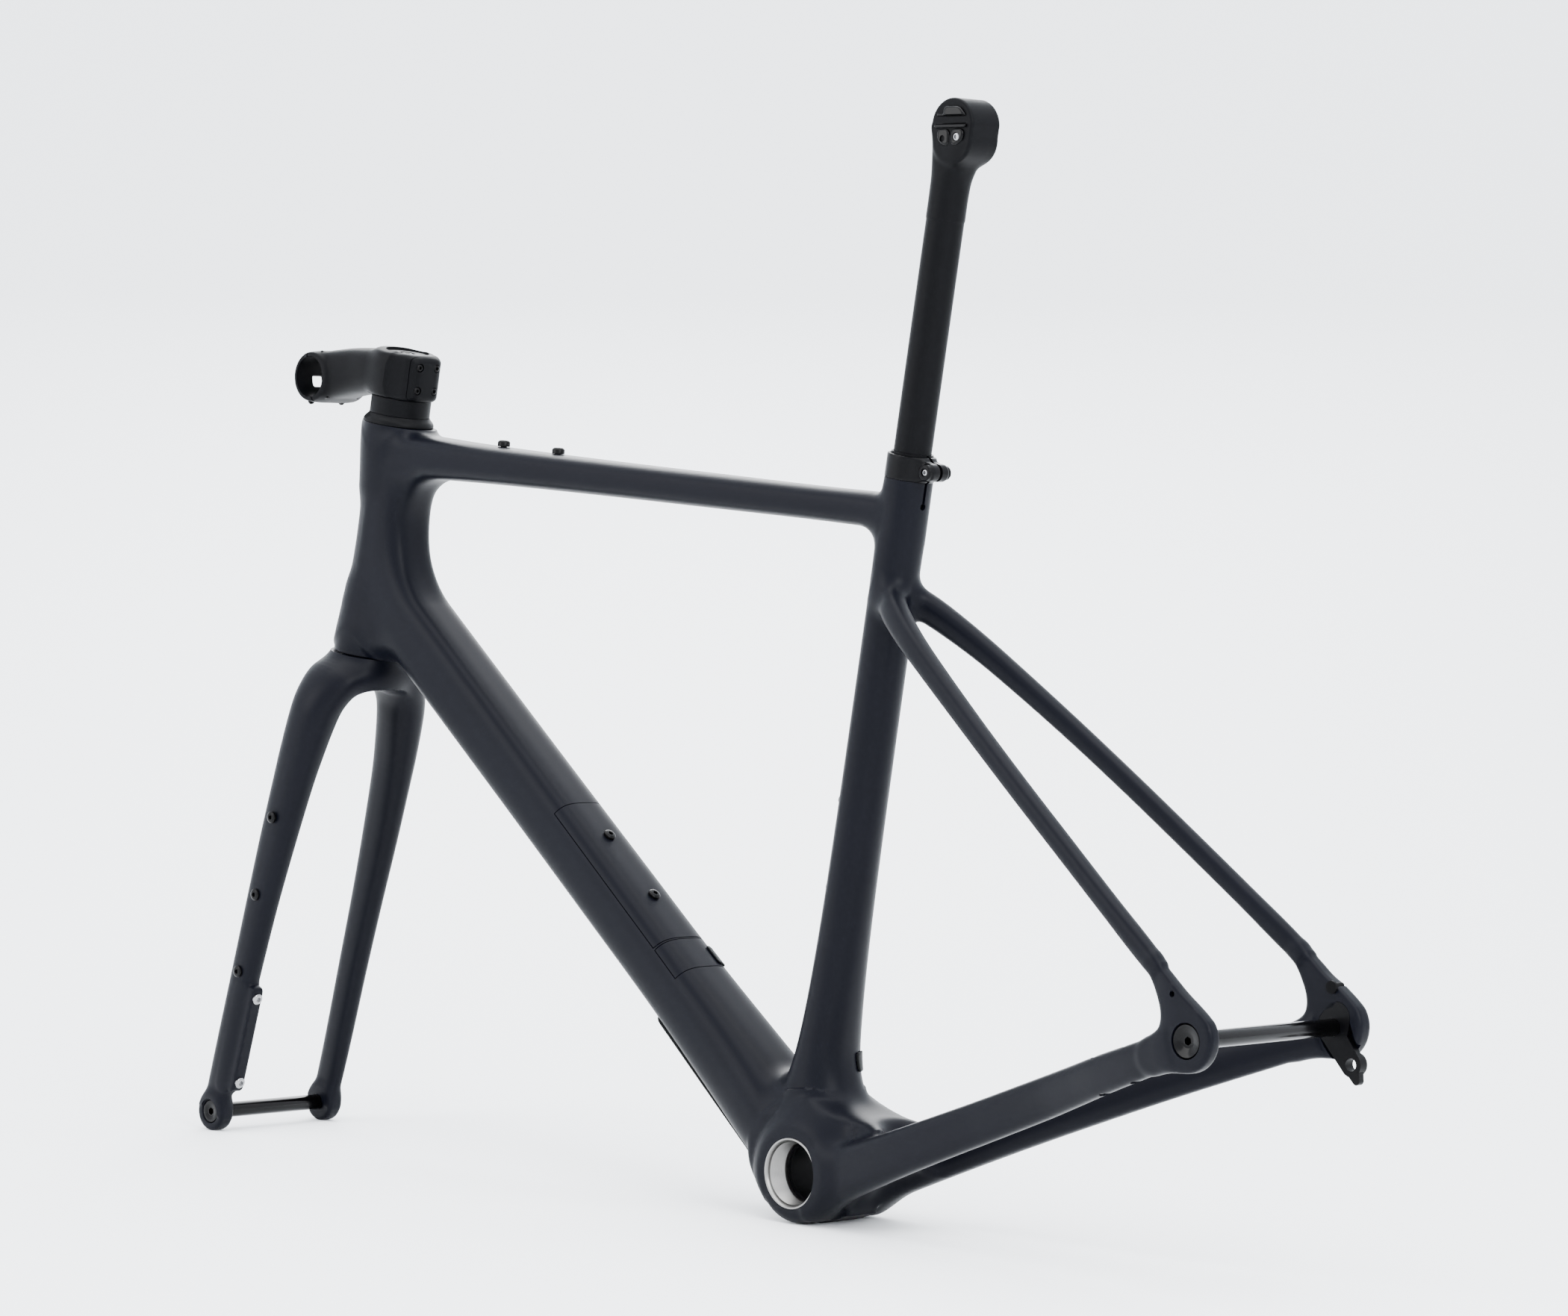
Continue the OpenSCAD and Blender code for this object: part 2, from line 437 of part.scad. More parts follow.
// --- stem ---
bar_x = stem_len * cos(stem_drop);
bar_z = spacer_top + 17.6 - stem_len * sin(stem_drop);
module bar_frame() translate([bar_x, 0, bar_z]) rotate([0, stem_drop + 9, 0]) children();
module stem_outer() {
  hull() {
    translate([0, 0, spacer_top + 8]) cylinder(r = 22.4, h = 26.5, $fn = 36);
    bar_frame() ycyl(19.2, -22.5, 22.5, $fn = 36);
  }
  translate([0, 0, spacer_top + 0.05]) cylinder(r = 23.3, h = 33, $fn = 64);
}
module stem_back() hull() {
  translate([-3, 0, spacer_top + 0.4]) cylinder(r = 22, h = 33.4, $fn = 36);
  translate([-10, 0, spacer_top + 4]) cylinder(r = 18.5, h = 26, $fn = 36);
}
module stem_body() color(matt) steer() difference() {
  union() { stem_outer(); stem_back(); }
  translate([0, 0, spacer_top - 30]) cylinder(r = 26, h = 30.05);
  translate([0, 0, spacer_top - 5]) cylinder(r = 14.3, h = 34.5);
  translate([0, 0, stem_top - 6]) cylinder(r = 16.6, h = 20);
  bar_frame() { ycyl(bar_r, -30, 30); translate([-0.6, -30, -40]) cube([40, 60, 80]); }
  translate([-46, -40, spacer_top - 5]) cube([23.8, 80, 60]);
  bar_frame() for (y = [-15.5, 15.5]) for (z = [-17.55, 17.55]) translate([0, y, z]) rotate([0, -90, 0]) cylinder(r = 1.6, h = 12, $fn = 24);
  for (z = [9, 27]) translate([-20, 0, spacer_top + z]) rotate([0, 90, 0]) for (y = [-12, 12]) translate([0, y, -10]) cylinder(r = 2, h = 17.6, $fn = 24);
}
module stem_faceplate() color(matt) steer() bar_frame() difference() {
  intersection() {
    ycyl(19.2, -22.5, 22.5);
    translate([0.6, -30, -40]) cube([40, 60, 80]);
  }
  ycyl(bar_r, -30, 30);
  translate([8, -6, -5]) cube([20, 12, 9]);
  for (y = [-15.5, 15.5]) for (z = [-17.55, 17.55]) translate([0, y, z]) rotate([0, 90, 0]) {
    cylinder(r = 1.6, h = 20, $fn = 24);
    translate([0, 0, 8]) cylinder(r = 2.9, h = 20, $fn = 24);
  }
}
module faceplate_bolts() color("black") steer() bar_frame()
  for (y = [-15.5, 15.5]) for (z = [-17.55, 17.55]) translate([0, y, z]) rotate([0, 90, 0]) {
    translate([0, 0, -11]) cylinder(r = 1.55, h = 19.2, $fn = 24);
    translate([0, 0, 8.1]) cylinder(r = 2.7, h = 2.6, $fn = 24);
  }
module stem_rear_clamp() color(matt) steer() difference() {
  intersection() {
    stem_back();
    translate([-46, -24, spacer_top]) cube([23.2, 48, 60]);
  }
  for (z = [9, 27]) for (y = [-12, 12]) translate([-40, y, spacer_top + z]) rotate([0, 90, 0]) {
    cylinder(r = 2.1, h = 30, $fn = 24);
    cylinder(r = 3.3, h = 15.4, $fn = 24);
  }
}
module stem_rear_bolts() color("black") steer()
  for (z = [9, 27]) for (y = [-12, 12]) translate([0, y, spacer_top + z]) rotate([0, 90, 0]) {
    translate([0, 0, -25.2]) cylinder(r = 1.98, h = 12.2, $fn = 24);
    translate([0, 0, -26.8]) cylinder(r = 3, h = 2.15, $fn = 24);
  }
module top_cap() color("black") steer() difference() {
  translate([0, 0, stem_top - 5.8]) cylinder(r = 16.4, h = 6.2);
  translate([0, 0, stem_top - 9]) cylinder(r = 3.1, h = 12, $fn = 32);
  translate([0, 0, stem_top - 2.4]) cylinder(r = 5.2, h = 6, $fn = 32);
}
module expander_plug() color("silver") steer() {
  translate([0, 0, stem_top - 56]) cylinder(r = 11.35, h = 46);
  translate([0, 0, stem_top - 12]) cylinder(r = 3, h = 9.8, $fn = 32);
  translate([0, 0, stem_top - 2.35]) difference() { cylinder(r = 4.9, h = 2.6, $fn = 32); translate([0, 0, 0.8]) cylinder(r = 2.4, h = 6, $fn = 6); }
}

// --- axles ---
module front_thru_axle() color("black") front_axis() difference() {
  union() { ycyl(6, -half_front - 11, half_front + 11); ycyl(9, half_front + 7.7, half_front + 11.6); }
  ycyl(3, half_front + 6, half_front + 13, $fn = 6);
}
module rear_thru_axle() color("black") rear_axis() difference() {
  union() { ycyl(6, -half_rear - 13.6, half_rear + 10); ycyl(11.6, half_rear + 5.2, half_rear + 10.2); }
  ycyl(3, half_rear + 4, half_rear + 12, $fn = 6);
}

// --- seatpost and saddle clamp ---
module seatpost() color(matt) seat_frame() difference() {
  union() {
    translate([0, 0, 412]) cylinder(r = post_r, h = post_height - 412 - 38);
    hull() {
      translate([0, 0, post_height - 38.5]) cylinder(r = post_r, h = 0.5, $fn = 40);
      translate([-post_setback + 1, 0, post_height - 12]) ycyl(14, -14.5, 14.5, $fn = 36);
    }
    translate([-post_setback, 0, post_height]) ycyl(19.6, -15, 15);
  }
  translate([0, 0, 411]) cylinder(r = post_r - 2.4, h = post_height - 411 - 38);
  translate([-post_setback, 0, post_height]) ycyl(15.6, -20, 20);
}
module clamp_frame() seat_frame() translate([-post_setback, 0, post_height]) rotate([0, 90 - seat_angle - stand_pitch, 0]) children();
module saddle_cradle() color("black") clamp_frame() difference() {
  ycyl(15.55, -17.5, 17.5);
  for (y = [-17.5, 17.5]) translate([-20, y, 4]) rotate([0, 90, 0]) cylinder(r = 3.5, h = 40);
  translate([-20, -30, 3.4]) cube([40, 60, 1.2]);
  translate([-20, 9.5, -30]) cube([40, 30, 26.5]);
  translate([-20, -39.5, -30]) cube([40, 30, 26.5]);
  translate([-6, 0, -8]) ycyl(2.6, -30, 30, $fn = 32);
}
module saddle_clamp_bolt() color("silver") clamp_frame() {
  translate([-6, 0, -8]) { ycyl(2.5, -15, 15, $fn = 32); ycyl(4.2, 13.6, 16, $fn = 32); }
}

head_tube();
top_tube();
down_tube();
down_tube_bay();
down_tube_foot();
seat_tube();
seatpost_sleeve();
bb_shell();
bb_insert_left();
bb_insert_right();
bb_tunnel();
bb_cable_cover();
stay_yoke();
chainstay_left();
chainstay_right();
seatstay_left();
seatstay_right();
dropout_left();
dropout_right();
derailleur_hanger();
hanger_bolt();
cable_grommet();
rear_brake_inserts();
fd_mount_cover();
down_tube_guard();
top_tube_bolts();
seat_tube_bottle_bolts();
seat_clamp_collar();
seat_clamp_bolt();
seat_clamp_nut();
upper_bearing_outer();
lower_bearing_outer();
upper_bearing_inner();
lower_bearing_inner();
steerer();
fork_crown();
fork_leg_left();
fork_leg_right();
fork_tip_left();
fork_tip_right();
fork_mount_bolts();
front_brake_bolts();
compression_ring();
headset_cover();
stem_spacer();
stem_body();
stem_faceplate();
faceplate_bolts();
stem_rear_clamp();
stem_rear_bolts();
top_cap();
expander_plug();
front_thru_axle();
rear_thru_axle();
seatpost();
saddle_cradle();
saddle_clamp_bolt();
storage_hatch();
hatch_bolts();
hatch_latch();
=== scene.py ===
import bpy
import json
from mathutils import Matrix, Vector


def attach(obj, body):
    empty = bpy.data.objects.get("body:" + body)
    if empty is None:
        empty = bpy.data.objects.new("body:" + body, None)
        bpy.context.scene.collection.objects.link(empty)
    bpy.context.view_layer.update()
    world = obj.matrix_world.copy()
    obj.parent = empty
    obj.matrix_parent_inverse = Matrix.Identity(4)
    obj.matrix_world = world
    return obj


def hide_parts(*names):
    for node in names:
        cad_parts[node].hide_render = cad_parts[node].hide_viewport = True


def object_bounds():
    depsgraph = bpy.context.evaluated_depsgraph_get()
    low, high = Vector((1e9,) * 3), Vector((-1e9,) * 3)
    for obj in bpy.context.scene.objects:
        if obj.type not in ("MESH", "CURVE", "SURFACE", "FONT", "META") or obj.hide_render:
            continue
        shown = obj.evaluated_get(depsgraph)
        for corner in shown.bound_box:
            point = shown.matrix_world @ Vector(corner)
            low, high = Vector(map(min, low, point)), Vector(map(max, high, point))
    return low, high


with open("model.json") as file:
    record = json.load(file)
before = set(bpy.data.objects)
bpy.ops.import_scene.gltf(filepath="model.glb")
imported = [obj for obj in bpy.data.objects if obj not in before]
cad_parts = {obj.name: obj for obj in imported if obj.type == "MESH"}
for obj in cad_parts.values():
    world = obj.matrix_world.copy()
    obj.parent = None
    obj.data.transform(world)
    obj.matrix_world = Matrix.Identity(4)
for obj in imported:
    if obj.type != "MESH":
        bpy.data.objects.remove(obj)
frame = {"nodes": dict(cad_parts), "record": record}
CAD_LO, CAD_HI = [list(c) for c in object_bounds()]

import json
import math

import bpy
import numpy as np
from mathutils import Matrix, Vector

# Bicycle frameset. The laminate pieces are implicit surfaces: each tube is a squared-off
# ellipse that changes along its length, and the tubes flow into one another with fillets.
NODES = frame["nodes"]

# ---------------------------------------------------------------- layout (mm, level-wheels frame)
CHAIN, DROP, FRONT_X, HEAD_A, SEAT_A = 420.0, 74.0, 620.0, 72.2, 72.4
HEAD_LEN, POST_H, SETBACK = 180.0, 756.0, 7.0
OFFSET, AXLE_CROWN, TIP_R, BB_R = 48.0, 384.0, 15.0, 36.5
HALF_REAR, HALF_FRONT = 71.0, 50.0


def sind(a):
    return math.sin(math.radians(a))


def cosd(a):
    return math.cos(math.radians(a))


REAR_X = -math.sqrt(CHAIN * CHAIN - DROP * DROP)
UP = np.array([-cosd(HEAD_A), 0.0, sind(HEAD_A)])
FW = np.array([sind(HEAD_A), 0.0, cosd(HEAD_A)])
BELOW = math.sqrt(AXLE_CROWN ** 2 - OFFSET ** 2)
LOW = np.array([FRONT_X, 0.0, DROP]) - OFFSET * FW + BELOW * UP
PITCH = math.atan2(DROP, FRONT_X) + math.asin((BB_R - TIP_R) / math.hypot(FRONT_X, DROP))
SUP = np.array([-cosd(SEAT_A), 0.0, sind(SEAT_A)])
SFW = np.array([sind(SEAT_A), 0.0, cosd(SEAT_A)])
SFOOT = np.array([20.0, 0.0, 0.0])


def loc(x, y, z):
    return LOW + x * FW + np.array([0.0, y, 0.0]) + z * UP


def seat(x, y, z):
    return SFOOT + x * SFW + np.array([0.0, y, 0.0]) + z * SUP


DT_A = np.array([8.5, 0.0, 0.8])
DT_B = loc(0, 0, 61.8)
DT_LEN = float(np.linalg.norm(DT_B - DT_A))
DT_D = (DT_B - DT_A) / DT_LEN
DT_N = np.array([-DT_D[2], 0.0, DT_D[0]])
TT_A = seat(0, 0, 480.9)
TT_B = loc(0, 0, 156.6)
TT_LEN = float(np.linalg.norm(TT_B - TT_A))
TT_D = (TT_B - TT_A) / TT_LEN


def place(p):
    """level-wheels frame (mm) to the standing row frame (m)"""
    p = np.asarray(p, float)
    c, s = math.cos(PITCH), math.sin(PITCH)
    q = np.empty_like(p)
    q[..., 0] = p[..., 0] * c + p[..., 2] * s
    q[..., 1] = p[..., 1]
    q[..., 2] = p[..., 2] * c - p[..., 0] * s
    return q / 1000.0


# ---------------------------------------------------------------- implicit surfaces
def smooth(t):
    t = np.clip(t, 0.0, 1.0)
    return t * t * (3.0 - 2.0 * t)


def spline(xs, ys, x):
    """Hermite through stations, ys may have several columns"""
    xs = np.asarray(xs, float)
    ys = np.asarray(ys, float).reshape(len(xs), -1)
    m = np.empty_like(ys)
    m[1:-1] = (ys[2:] - ys[:-2]) / (xs[2:] - xs[:-2])[:, None]
    m[0] = (ys[1] - ys[0]) / (xs[1] - xs[0])
    m[-1] = (ys[-1] - ys[-2]) / (xs[-1] - xs[-2])
    x = np.clip(x, xs[0], xs[-1])
    i = np.clip(np.searchsorted(xs, x, side="right") - 1, 0, len(xs) - 2)
    w = (xs[i + 1] - xs[i])[:, None]
    t = ((x - xs[i])[:, None]) / w
    t2, t3 = t * t, t * t * t
    return ((2 * t3 - 3 * t2 + 1) * ys[i] + (t3 - 2 * t2 + t) * w * m[i]
            + (-2 * t3 + 3 * t2) * ys[i + 1] + (t3 - t2) * w * m[i + 1])


def smin(a, b, k):
    h = np.maximum(k - np.abs(a - b), 0.0) / k
    return np.minimum(a, b) - h * h * k * 0.25


def smax(a, b, k):
    return -smin(-a, -b, k)


def super_d(u, v, a, b, n):
    """near-true distance to a superellipse with half axes a, b"""
    qa, qb = np.abs(u) / a + 1e-9, np.abs(v) / b + 1e-9
    f = (qa ** n + qb ** n) ** (1.0 / n)
    g = f ** (1.0 - n) * np.sqrt((qa ** (n - 1) / a) ** 2 + (qb ** (n - 1) / b) ** 2)
    return np.where(f > 0.35, (f - 1.0) / g, (f - 1.0) * np.minimum(a, b))


class Path:
    """a tube swept along a curved path, through stations x, y, z, a, b, n"""

    def __init__(self, st, ref, steps=14, open_start=False, open_end=False):
        st = np.asarray(st, float)
        q = np.concatenate([[0.0], np.cumsum(np.linalg.norm(np.diff(st[:, :3], axis=0), axis=1))])
        t = np.concatenate([np.linspace(q[i], q[i + 1], steps, endpoint=False) for i in range(len(q) - 1)] + [[q[-1]]])
        self.s = spline(q, st, t)
        c = self.s[:, :3]
        tan = np.gradient(c, axis=0)
        self.t = tan / np.linalg.norm(tan, axis=1)[:, None]
        ref = np.asarray(ref, float)
        u = ref[None, :] - (self.t @ ref)[:, None] * self.t
        self.u = u / np.linalg.norm(u, axis=1)[:, None]
        self.v = np.cross(self.t, self.u)
        self.open_start, self.open_end = open_start, open_end
        rad = float(max(self.s[:, 3].max(), self.s[:, 4].max()))
        self.lo, self.hi = c.min(0) - rad, c.max(0) + rad

    def __call__(self, P, grow=0.0, reach=22.0):
        d = np.full(len(P), 60.0)
        near = np.all((P > self.lo - reach) & (P < self.hi + reach), axis=1)
        idx = np.nonzero(near)[0]
        for part in np.array_split(idx, max(1, len(idx) // 60000)):
            if len(part):
                d[part] = self.eval(P[part], grow)
        return d

    def eval(self, P, grow):
        c = self.s[:, :3]
        A, B = c[:-1], c[1:]
        AB = B - A
        L2 = (AB * AB).sum(1)
        best = np.full(len(P), 1e18)
        seg = np.zeros(len(P), int)
        par = np.zeros(len(P))
        for i in range(len(A)):
            w = P - A[i]
            t = np.clip(w @ AB[i] / L2[i], 0.0, 1.0)
            w = w - t[:, None] * AB[i]
            q = (w * w).sum(1)
            m = q < best
            best[m] = q[m]
            seg[m] = i
            par[m] = t[m]
        p = par[:, None]
        mix = lambda z: z[seg] * (1 - p) + z[seg + 1] * p
        S = mix(self.s)
        T, U, V = mix(self.t), mix(self.u), mix(self.v)
        w = P - S[:, :3]
        d = super_d((w * U).sum(1), (w * V).sum(1), S[:, 3] + grow, S[:, 4] + grow, S[:, 5])
        if not self.open_start:
            d = np.maximum(d, -((P - c[0]) @ self.t[0]))
        if not self.open_end:
            d = np.maximum(d, (P - c[-1]) @ self.t[-1])
        return d


class Bar2:
    """a straight tube seen from the side: gives depth, half height, half width and squareness"""

    def __init__(self, o, d, st, lo, hi):
        self.o, self.d = np.array([o[0], o[2]]), np.array([d[0], d[2]])
        self.n = np.array([-self.d[1], self.d[0]])
        self.st = np.asarray(st, float)
        self.lo, self.hi = lo, hi

    def __call__(self, X, Z):
        w = np.stack([X, Z], 1) - self.o
        s, v = w @ self.d, w @ self.n
        q = spline(self.st[:, 0], self.st[:, 1:4], s)
        a, b, n = q[:, 0], q[:, 1], q[:, 2]
        d = np.maximum(np.abs(v) - b, np.maximum(self.lo - s, s - self.hi))
        return d, a, b, n, v


DT_ST = [(10, 38, 30, 2.6), (60, 34.5, 29, 2.8), (110, 30.5, 28, 3), (190, 27.2, 25.9, 3.3), (290, 25.8, 25.5, 3.5),
         (400, 24.8, 25.4, 3.6), (500, 23.8, 25.6, 3.8), (580, 23.4, 26.0, 3.8), (DT_LEN, 23.2, 26.6, 3.8)]
TT_ST = [(0, 15.5, 13, 3.0), (80, 16.5, 12.3, 3.0), (180, 17.6, 12.6, 3.1), (300, 19, 13.1, 3.2), (400, 20.6, 14.0, 3.4),
         (460, 21.6, 15.1, 3.5), (505, 22.4, 16.6, 3.6), (TT_LEN, 22.9, 18.0, 3.6)]
ST_ST = [(14, 36, 25, 2.7), (60, 28.5, 22, 2.5), (100, 23.4, 18.7, 2.3), (160, 19.6, 17.8, 2.1), (240, 17.9, 17.4, 2),
         (350, 17.3, 17.1, 2), (440, 17.2, 17.2, 2), (530, 17.2, 17.2, 2)]
# height, nose radius, half width, depth behind, squareness behind
HT_ST = [(-6, 28, 28, 28.4, 2), (10, 27.2, 27.2, 29, 2.3), (34, 23.0, 24.6, 31, 3), (76, 21.6, 23.2, 34, 3.5),
         (110, 21.6, 23, 34.4, 3.5), (140, 22.4, 23.8, 33, 2.9), (164, 25.0, 26, 30, 2.4), (186, 27.9, 27.9, 28.2, 2)]
B_DT = Bar2(DT_A, DT_D, DT_ST, 0, DT_LEN)
B_TT = Bar2(TT_A, TT_D, TT_ST, -4, TT_LEN)
B_ST = Bar2(SFOOT, SUP, ST_ST, 0, 540)
WHEEL_R = 352.0


def core(P):
    X, Y, Z = P[:, 0], np.abs(P[:, 1]), P[:, 2]
    dt = B_DT(X, Z)
    tt = B_TT(X, Z)
    st = B_ST(X, Z)
    w = np.stack([X, Z], 1) - np.array([LOW[0], LOW[2]])
    s = w @ np.array([UP[0], UP[2]])
    v = w @ np.array([FW[0], FW[2]])
    q = spline([r[0] for r in HT_ST], [r[1:] for r in HT_ST], s)
    rear = smooth((-v + 4.0) / 14.0)
    hb = 0.5 * (q[:, 0] + q[:, 2])
    ht = (np.maximum(np.abs(v - 0.5 * (q[:, 0] - q[:, 2])) - hb, np.maximum(-3.0 - s, s - 184.0)), q[:, 1], hb,
          2.0 + (q[:, 3] - 2.0) * rear)
    r = np.hypot(X, Z)
    bb = (r - BB_R, np.full_like(r, 42.0), np.full_like(r, 36.5), np.full_like(r, 5.0))
    # yoke behind the shell
    yx = np.clip(-X, 10.0, 66.0)
    yk = (np.maximum(np.abs(Z - (2.6 + 0.14 * yx)) - (25.6 - 0.14 * yx), np.maximum(X + 10, -X - 76.0)), 28.0 + 0 * r,
          14.0 + 0 * r, 4.6 + 0 * r)
    back = smooth((-v - 1.0) / 18.0)
    a1 = smin(ht[0], dt[0], 2.0 + 36.0 * back)
    a1 = smin(a1, tt[0], 2.0 + (12.0 + 20.0 * smooth(-tt[4] / 10.0)) * back)
    b1 = smin(st[0], bb[0], 2.0 + 22.0 * smooth((Z - 8.0) / 20.0))
    b1 = smin(b1, yk[0], 18.0 + 42.0 * smooth((Z - 2.0) / 22.0))
    ahead = smooth((-st[4] - 1.0) / 10.0)
    d = smin(a1, b1, np.where(Z > 300, 2.0 + (6.0 + 12.0 * smooth(-tt[4] / 8.0)) * ahead, 6.0 + 14.0 * smooth(dt[4] / 10.0)))
    ds = np.stack([ht[0], dt[0], tt[0], st[0], bb[0] + 5.0, yk[0] + 6.0])
    wt = np.exp(-(ds - ds.min(0)) / 7.0)
    wt /= wt.sum(0)
    A = sum(wt[i] * t[1] for i, t in enumerate((ht, dt, tt, st, bb, yk)))
    B = sum(wt[i] * t[2] for i, t in enumerate((ht, dt, tt, st, bb, yk)))
    N = sum(wt[i] * t[3] for i, t in enumerate((ht, dt, tt, st, bb, yk)))
    face = 42.0 - 12.0 * smooth((r - 31.0) / 26.0)
    A = np.where(r < 60, np.maximum(A, face), A)
    N = np.where(r < 60, N + (11.0 - N) * smooth((56 - r) / 18.0), N)
    qv = np.maximum(1.0 + d / B, 0.0)
    qy = Y / A
    f = (qv ** N + qy ** N + 1e-12) ** (1.0 / N)
    g = (np.maximum(f, 0.2)) ** (1.0 - N) * np.sqrt((qv ** (N - 1) / B) ** 2 + (qy ** (N - 1) / A) ** 2) + 1e-4
    out = np.where(f > 0.45, (f - 1.0) / g, (f - 1.0) * np.minimum(A, B))
    return np.clip(out, -40, 80)


def cs(f, y, a, b, h=0.0):
    return (f * REAR_X, y, -12 + f * (DROP + 11) + h, a, b, 2.8)


CS = Path([cs(0.03, 27, 13, 21, 0.5), cs(0.12, 31.5, 11.5, 18.6, 0.4), cs(0.24, 36.2, 10, 16.6, 0.6), cs(0.35, 39, 9, 15.6, 0.9),
           cs(0.46, 41.5, 8.4, 15.0, 1.1), cs(0.614, 47.8, 7.8, 14.4, 1.4), cs(0.7, 54.7, 7.6, 13.8, 1.4),
           cs(0.78, 62.6, 7.3, 13.3, 1.3), cs(0.87, 70, 6.8, 12.6, 0.6), cs(0.96, 75.6, 6, 12)], (0, 1, 0), 7)
SS_TOP = seat(-11.2, 0, 421)


def ss(x, y, a, b):
    f = (-118 - x) / 269.0
    return (SS_TOP[0] + f * (REAR_X + 26.5 - SS_TOP[0]), y,
            SS_TOP[2] + f * (DROP + 52.9 - SS_TOP[2]) + 7 * f * (1 - f) - 1.6 * max(0.0, 1 - f / 0.25), a, b, 2.5)


SS = Path([ss(-112, 7, 8.6, 11), ss(-126, 19, 8.6, 10.4), ss(-146, 29, 8, 9.4), ss(-169, 36.6, 7.6, 8.5),
           ss(-218, 48.5, 7, 7.7), ss(-263, 57.3, 6.8, 7.4), ss(-306, 64.2, 6.8, 7.3), ss(-347, 70.4, 6.6, 7.3),
           ss(-384, 75.2, 6, 7.6), ss(-391, 75.4, 5.4, 5.2)], (0, 1, 0), 7)


def capsule2(X, Z, a, b, ra, rb):
    dx, dz = b[0] - a[0], b[1] - a[1]
    t = np.clip(((X - a[0]) * dx + (Z - a[1]) * dz) / (dx * dx + dz * dz), 0, 1)
    return np.hypot(X - a[0] - t * dx, Z - a[1] - t * dz) - (ra + t * (rb - ra))


def slab(d2, y, y0, y1, r):
    """2-D outline pushed from y0 to y1 with edges rounded by r"""
    dy = np.abs(y - 0.5 * (y0 + y1)) - 0.5 * (y1 - y0)
    u, v = d2 + r, dy + r
    return np.minimum(np.maximum(u, v), 0.0) + np.hypot(np.maximum(u, 0), np.maximum(v, 0)) - r


def dropout(P):
    X, Y, Z = P[:, 0] - REAR_X, np.abs(P[:, 1]), P[:, 2] - DROP
    d = capsule2(X, Z, (-3.0, 2.0), (26, 52.4), 16.8, 5.2)
    d = smin(d, capsule2(X, Z, (4, -3), (34, -8), 12.5, 12.0), 26.0)
    right = P[:, 1] < 0
    d = np.where(right, d - 1.6 * smooth((8 - X) / 14.0), d)
    outer = np.where(right, 83.6, 82.05) - 5.6 * smooth((X - 6.0) / 44.0)
    return slab(d, Y, 71.0, outer, 3.2)


def frame_field(P):
    q = P.copy()
    q[:, 1] = np.abs(q[:, 1])
    d = core(q)
    d = smin(d, CS(q), 12.0)
    d = smin(d, SS(q), 9.0)
    m = P[:, 0] < REAR_X + 75
    if m.any():
        d[m] = smin(d[m], dropout(P[m]), 6.0)
    # tyre room
    near = (P[:, 0] < -20) & (P[:, 2] < 330)
    rr = np.hypot(P[:, 0] - REAR_X, P[:, 2] - DROP)
    tyre = np.hypot(np.maximum(rr - (WHEEL_R - 24), 0), P[:, 1]) - 24.0
    d = np.where(near, smax(d, -tyre, 9.0), d)
    belly = np.maximum(np.maximum(-P[:, 0] - 27.0, P[:, 0] - 1.0), np.maximum(np.abs(P[:, 1]) - 15.0, np.abs(P[:, 2] + 27.0 - 0.09 * np.maximum(-P[:, 0], 0)) - 9.2))
    d = smin(d, belly, 5.0)
    return d


# fork, in steering-axis coordinates (x forward, y left, z up the steerer)
FX, FZ = OFFSET, -BELOW
LEG = Path([(0, -3, -15.4, 28, 11.8, 2.2), (0.2, 9, -15.8, 28, 12.4, 2.2), (0.5, 20, -17.6, 27.4, 13.8, 2.2), (1, 31.8, -23.8, 25.8, 15.2, 2.2),
            (2.6, 40.4, -36.4, 22.8, 15.8, 2.2), (4.4, 44.6, -51, 20.8, 16, 2.2), (8.6, 48.7, -83, 19.2, 13.6, 2.3),
            (12, 50.6, -108, 18.3, 12, 2.3), (18.8, 52.9, -157, 16.6, 10.2, 2.4), (25.7, 54.3, -207, 14.7, 9.2, 2.4),
            (FX - 14.8, 55.2, FZ + 116, 13.2, 8.7, 2.4), (FX - 7.4, 56.2, FZ + 56, 12.4, 8.0, 2.4),
            (FX - 2.4, 56.4, FZ + 18, 12.4, 6.6, 2.5), (FX, 56.2, FZ + 4, 12, 6, 2.6)], (1, 0, 0), 6, open_start=True)


def fork_field(P):
    q = P.copy()
    q[:, 1] = np.abs(q[:, 1])
    X, Y, Z = q.T
    d = LEG(q)
    neck = np.maximum(np.hypot(X, Y) - (28.0 + 1.5 * smooth((-6 - Z) / 16.0)), np.maximum(Z - 6, -24 - Z))
    d = smin(d, neck, 12.0)
    tip = slab(np.hypot(X - FX, Z - FZ) - TIP_R, Y, 50.0, 62.0, 2.2)
    d = smin(d, tip, 7.0)
    m = (P[:, 1] > 40) & (Z < FZ + 140)
    if m.any():
        a, c = (FX - 19.6, FZ + 25.5), (FX - 29.0, FZ + 104.5)
        pad = capsule2(X[m], Z[m], a, c, 4.0, 4.0)
        pad2 = capsule2(X[m], Z[m], (FX - 12, FZ + 26), (FX - 21, FZ + 104), 7.0, 7.0)
        pad = slab(np.minimum(pad, pad2), Y[m], 50.4, 61.6, 1.6)
        d[m] = smin(d[m], pad, 4.0)
    return d


